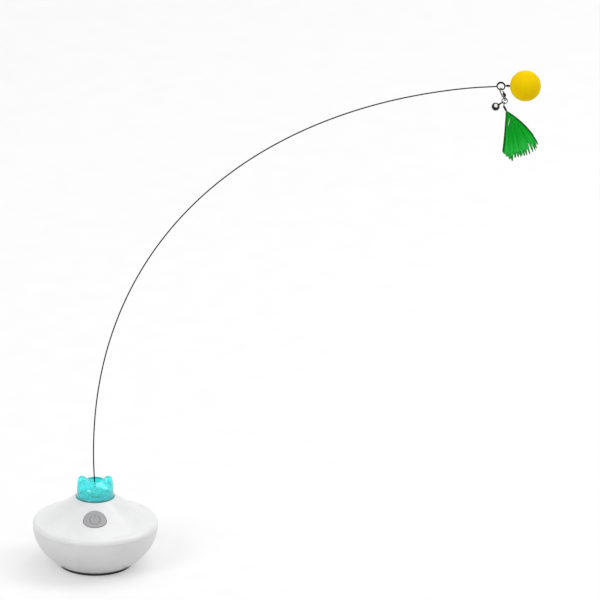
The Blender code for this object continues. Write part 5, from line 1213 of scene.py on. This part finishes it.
FEATHER_ROOT = CRIMP_FRAME @ Vector((0, 0, CRIMP_LENGTH + FIT))
FEATHER_LENGTH = 0.0420
LEFT_START, RIGHT_START = radians(-93), radians(-31)
LEFT_END, RIGHT_END = radians(-95), radians(-47)
LENGTH_SHARES = [0.86, 0.92, 0.98, 1.02, 0.97, 0.97, 0.98, 0.985, 0.98, 0.99, 0.98, 0.98, 0.96, 0.92]
SLIT_SHARES = [1.0, 1.0, 0.985, 0.97, 0.90, 0.93, 0.88, 0.91, 0.87, 0.88, 0.80, 0.83, 0.72, 0.76, 0.80]
LENGTHS = [FEATHER_LENGTH * share for share in LENGTH_SHARES]
STRANDS = len(LENGTH_SHARES)
STRAND_HALF = 0.56 / STRANDS
RIM_REACH = 0.0016
RIM_FADE = 0.0006
VANE_THICK = 0.00010
VANE_COLUMNS = (-1, -0.72, -0.4, -0.12, 0, 0.12, 0.4, 0.72, 1)
VANE_ROWS = 46
HAIRS = 110
HAIR_RADIUS = 0.00006
HAIR_STEPS = 14
TIP_STEPS = 5
HIGHLIGHT_HAIR_RADIUS = 0.00022


def fan_point(across, along, length):
    """A point (x, z) of the fan: across runs left to right and along runs from root to tip."""
    start = between(LEFT_START, RIGHT_START, across)
    end = between(LEFT_END, RIGHT_END, across)
    pull = Vector((cos(start), sin(start))) * length / 2
    tip = Vector((cos(end), sin(end))) * length
    return pull * (2 * along * (1 - along)) + tip * along**2


def share_at(values, across):
    """A list's values, spread evenly over the fan and read between its entries."""
    place = clamped(across) * (len(values) - 1)
    first = min(int(place), len(values) - 2)
    return between(values[first], values[first + 1], place - first)


def feather_place(across, along, length, depth):
    flat = fan_point(across, along, length)
    aside = (across - 0.5) * 0.0009 * (1 - along)
    return FEATHER_ROOT + Vector((flat.x + aside, depth, flat.y))


def rim_at(across, along, length):
    """How dark the fan is near its two sides: fully for a millimetre, then fading."""
    width = (fan_point(1, along, length) - fan_point(0, along, length)).length
    return clamped((RIM_REACH - min(across, 1 - across) * width) / RIM_FADE)


def swell(along):
    """How far a strand bulges out of the fan's plane."""
    return sin(pi * min(along / 0.93, 1)) ** 0.8


def narrowing(along, slit):
    """A strand's width share: full up to its slit, then narrower at once, with a blunt tip."""
    if along <= slit:
        return 1
    past = (along - slit) / (1 - slit)
    width = 1 - 0.22 * min(past * 8, 1) - 0.35 * past
    return max(width * sqrt(max(1 - past**6, 0)), 0.03)


class Tuft:
    """A mesh of strands; each point keeps its tone and its place along, aside and near a rim."""

    def __init__(self):
        self.shape = bmesh.new()
        self.layers = [self.shape.verts.layers.float.new(name) for name in STRAND_VALUES]

    def point(self, place, *values):
        made = self.shape.verts.new(place)
        for layer, value in zip(self.layers, values):
            made[layer] = value
        return made

    def vane(self, across, half, slit, length, depth, tone, curl, slant=0.0, dark_tip=0.0):
        """A narrow feather that tapers past its slit, with a raised quill and a slanted end."""
        fronts, backs = [], []
        for along in shares(VANE_ROWS):
            taper = narrowing(along, slit)
            front, back = [], []
            for column in VANE_COLUMNS:
                ragged = 1 + (0.04 * sin(along * 190 + across * 40) if abs(column) == 1 else 0)
                spot = across + half * column * taper * ragged
                ridge = 0.00016 * (1 - abs(column)) * min(along * 6, 1) * (1 - along * 0.6)
                lift = depth * swell(along) - ridge + curl * along**3
                place = feather_place(spot, along, length * (1 + slant * column * taper), lift)
                rim = max(rim_at(spot, along, length), dark_tip * clamped((along - 0.86) / 0.07))
                behind = place + Vector((0, VANE_THICK + ridge, 0))
                front.append(self.point(place, tone, along, abs(column), rim))
                back.append(self.point(behind, tone * 0.8, along, abs(column), rim))
            fronts.append(front)
            backs.append(back)
        for line, flip in ((fronts, False), (backs, True)):
            for first, second in zip(line, line[1:]):
                for index in range(len(VANE_COLUMNS) - 1):
                    corners = [first[index], first[index + 1], second[index + 1], second[index]]
                    self.shape.faces.new(corners[::-1] if flip else corners)
        for front, back in zip(zip(fronts, fronts[1:]), zip(backs, backs[1:])):
            for index in (0, -1):
                self.shape.faces.new((front[0][index], front[1][index], back[1][index], back[0][index]))
        for end in (0, -1):
            self.shape.faces.new(fronts[end] + backs[end][::-1])

    def hair(self, points, radius, tone, start, end):
        """A hair that thins to its tip; start and end are its range on the strand."""
        count = len(points) - 1
        rings = []
        for index, (place, way) in enumerate(zip(points, directions(points))):
            first = (Y_AXIS - way * Y_AXIS.dot(way)).normalized()
            second = way.cross(first)
            thin = radius * (1 - 0.85 * index / count)
            share = start + (end - start) * index / count
            spots = [place + (first * x + second * y) * thin for x, y in circle(3)]
            rings.append([self.point(spot, tone, share, 0, 0) for spot in spots])
        skin(self.shape, rings)


def add_vanes(tuft, chance):
    """The front strands, which make the fan's outline, and paler ones behind their slits."""
    for index, length in enumerate(LENGTHS):
        across = (index + 0.5) / STRANDS + (chance.uniform(-0.012, 0.012) if 2 < index < STRANDS - 1 else 0)
        slit = min(SLIT_SHARES[index], SLIT_SHARES[index + 1]) - 0.02
        depth = -0.0007 if index % 2 else -0.0003
        tone = 0.30 + chance.uniform(-0.10, 0.10)
        slant, dark_tip = (0.035, 0.3) if index < 3 else (0.0, 0.8)
        curl = chance.uniform(-0.0005, 0.0005)
        tuft.vane(across, STRAND_HALF, slit, length, depth, tone, curl, slant, dark_tip)
    for index in range(STRANDS - 1):
        across = (index + 1) / STRANDS
        slit = SLIT_SHARES[index + 1] - 0.10
        length = share_at(LENGTHS, across) * chance.uniform(0.90, 0.97)
        tuft.vane(across, 0.5 / STRANDS, slit, length, 0.0007, 0.62, chance.uniform(0, 0.0006))


def add_hairs(tuft, chance):
    """Fine hairs over both faces of the fan, kept off its rims."""
    for _ in range(HAIRS):
        across = chance.uniform(0.07, 0.93)
        length = share_at(LENGTHS, across)
        end = chance.uniform(0.55, min(share_at(SLIT_SHARES, across) + 0.05, 1))
        start = chance.uniform(0.02, 0.25)
        side = -1 if chance.random() < 0.7 else 1
        lift = side * chance.uniform(0.0007, 0.0011)
        drift = chance.uniform(-0.02, 0.02)
        tone = chance.uniform(0.1, 0.7)
        points = []
        for share, along in zip(shares(HAIR_STEPS), spaced(start, end - start, HAIR_STEPS)):
            spot = clamped(across + drift * share**2, 0.06, 0.94)
            points.append(feather_place(spot, along, length, lift * swell(along)))
        tuft.hair(points, HAIR_RADIUS, tone, start, end)


def add_painted_highlight(tuft):
    """A painted highlight: a pale streak of three hairs near the root, standing in for a reflection."""
    for number in range(3):
        across = 0.43 + 0.013 * number
        spots = [(across - 0.029 * step, 0.15 + 0.0156 * step) for step in range(10)]
        points = [feather_place(spot, along, FEATHER_LENGTH, -0.0013) for spot, along in spots]
        # The high tone turns these hairs pale: a painted highlight.
        tuft.hair(points, HIGHLIGHT_HAIR_RADIUS, 2.2 - abs(number - 1) * 0.15, 0.17, 0.31)


def add_tips(tuft, chance):
    """Loose hairs that stand off the strands' split ends."""
    for _ in range(HAIRS):
        index = chance.randrange(STRANDS)
        side = chance.choice((-1, 1))
        slit = SLIT_SHARES[index + (1 if side > 0 else 0)]
        begin = chance.uniform(slit - 0.10, 0.985)
        across = (index + 0.5) / STRANDS
        taper = narrowing(begin, slit)
        reach = chance.uniform(0.02, 0.04)
        lean = chance.uniform(0.1, 0.5) * STRAND_HALF * side
        lift = chance.uniform(-0.0003, 0.0003)
        points = []
        for share in shares(TIP_STEPS):
            spot = across + STRAND_HALF * side * taper * 0.9 + lean * share
            points.append(feather_place(spot, begin + reach * share, LENGTHS[index], lift))
        tuft.hair(points, HAIR_RADIUS, chance.uniform(0.3, 1.0), begin, min(begin + reach, 1))


def make_feather():
    chance = random.Random(7)
    tuft = Tuft()
    add_vanes(tuft, chance)
    add_hairs(tuft, chance)
    add_painted_highlight(tuft)
    add_tips(tuft, chance)
    quill = [CRIMP_FRAME @ Vector((0, 0, step * 0.0006 + 0.0009)) for step in range(10)]
    absorb(tuft.shape, sweep(quill, 0.0003, 10))
    piece("feather", tuft.shape, "feather", "green_feather", "feather_tuft", angle=radians(60))


# CAD nodes that stay


def dress_nodes():
    """Every CAD node gets its slot's finish, and is welded, softly edged and smooth."""
    slots = {part["node"]: part["material_slot"] for part in frame["record"]["subparts"]}
    for name, made in frame["nodes"].items():
        made.data.materials.clear()
        made.data.materials.append(FINISHES[slots[name]])
        modified(made, "weld", "WELD", merge_threshold=0.000002)
        bevel = {"width": 0.00012, "segments": 2, "limit_method": "ANGLE", "angle_limit": radians(35)}
        modified(made, "edge", "BEVEL", **bevel)
        made.data.shade_smooth()
        modified(made, "normals", "WEIGHTED_NORMAL", keep_sharp=True, mode="FACE_AREA")


# Floor, light and camera


def make_floor():
    shape = bmesh.new()
    bmesh.ops.create_grid(shape, x_segments=8, y_segments=8, size=9)
    floor = loose("floor", shape)
    nodes = blank("floor")
    shader = nodes.tree.nodes["Principled BSDF"]
    tint = nodes.blend(nodes.spread(nodes.noise(40), 0, 1), (0.69, 0.69, 0.69), (0.71, 0.71, 0.71))
    nodes.feed(shader, {"Base Color": tint, "Roughness": 0.85, "Specular IOR Level": 0.1})
    glow = nodes.maths("MULTIPLY", nodes.seen(), FLOOR_GLOW)
    light = nodes.node("Emission", {"Color": (1, 1, 1), "Strength": glow}).outputs["Emission"]
    both = nodes.node("AddShader", {0: shader.outputs["BSDF"], 1: light}).outputs["Shader"]
    nodes.feed(nodes.tree.nodes["Material Output"], {"Surface": both})
    floor.data.materials.append(nodes.owner)


def make_world():
    world = bpy.data.worlds.new("studio")
    bpy.context.scene.world = world
    nodes = Nodes(world)
    light = nodes.spread(nodes.seen(), WORLD_LIGHT, 1.0, 0, 1)
    nodes.feed(nodes.tree.nodes["Background"], {"Color": (1, 1, 1), "Strength": light})


def aimed(name, data, place, way):
    """A lamp or a camera at a place, turned to look along a way."""
    made = bpy.data.objects.new(name, data)
    made.location = place
    made.rotation_euler = way.to_track_quat("-Z", "Y").to_euler()
    bpy.context.scene.collection.objects.link(made)
    return made


def lamp(name, place, target, size, power):
    data = bpy.data.lights.new(name, "AREA")
    set_up(data, {"shape": "RECTANGLE", "size": size[0], "size_y": size[1], "energy": power})
    aimed(name, data, place, Vector(target) - Vector(place))


def make_light():
    make_world()
    lamp("key", (-2.1, -2.1, 2.4), (0.1, 0, 0.15), (1.2, 1.6), 25)
    lamp("side", (2.6, 0.3, 2.4), (0.1, 0, 0.15), (1.2, 1.6), 19)
    lamp("top", (0.9, 0.9, 2.9), (0.1, 0, 0.1), (2.0, 2.0), 18)


def make_camera():
    data = bpy.data.cameras.new("camera")
    set_up(data, {"lens": VIEW_LENS, "sensor_width": 36, "clip_end": 40})
    back = Vector((0, -cos(VIEW_TILT), sin(VIEW_TILT)))
    bpy.context.scene.camera = aimed("camera", data, VIEW_TARGET + back * VIEW_DISTANCE, -back)
    bpy.context.scene.view_settings.view_transform = "Standard"


make_camera()
make_floor()
make_light()
dress_nodes()
make_upper_shell()
make_lower_shell()
make_foot()
make_cap()
make_button()
make_symbol()
make_wand()
make_ball()
make_clasp()
make_ring()
make_bell()
make_crimp()
make_feather()
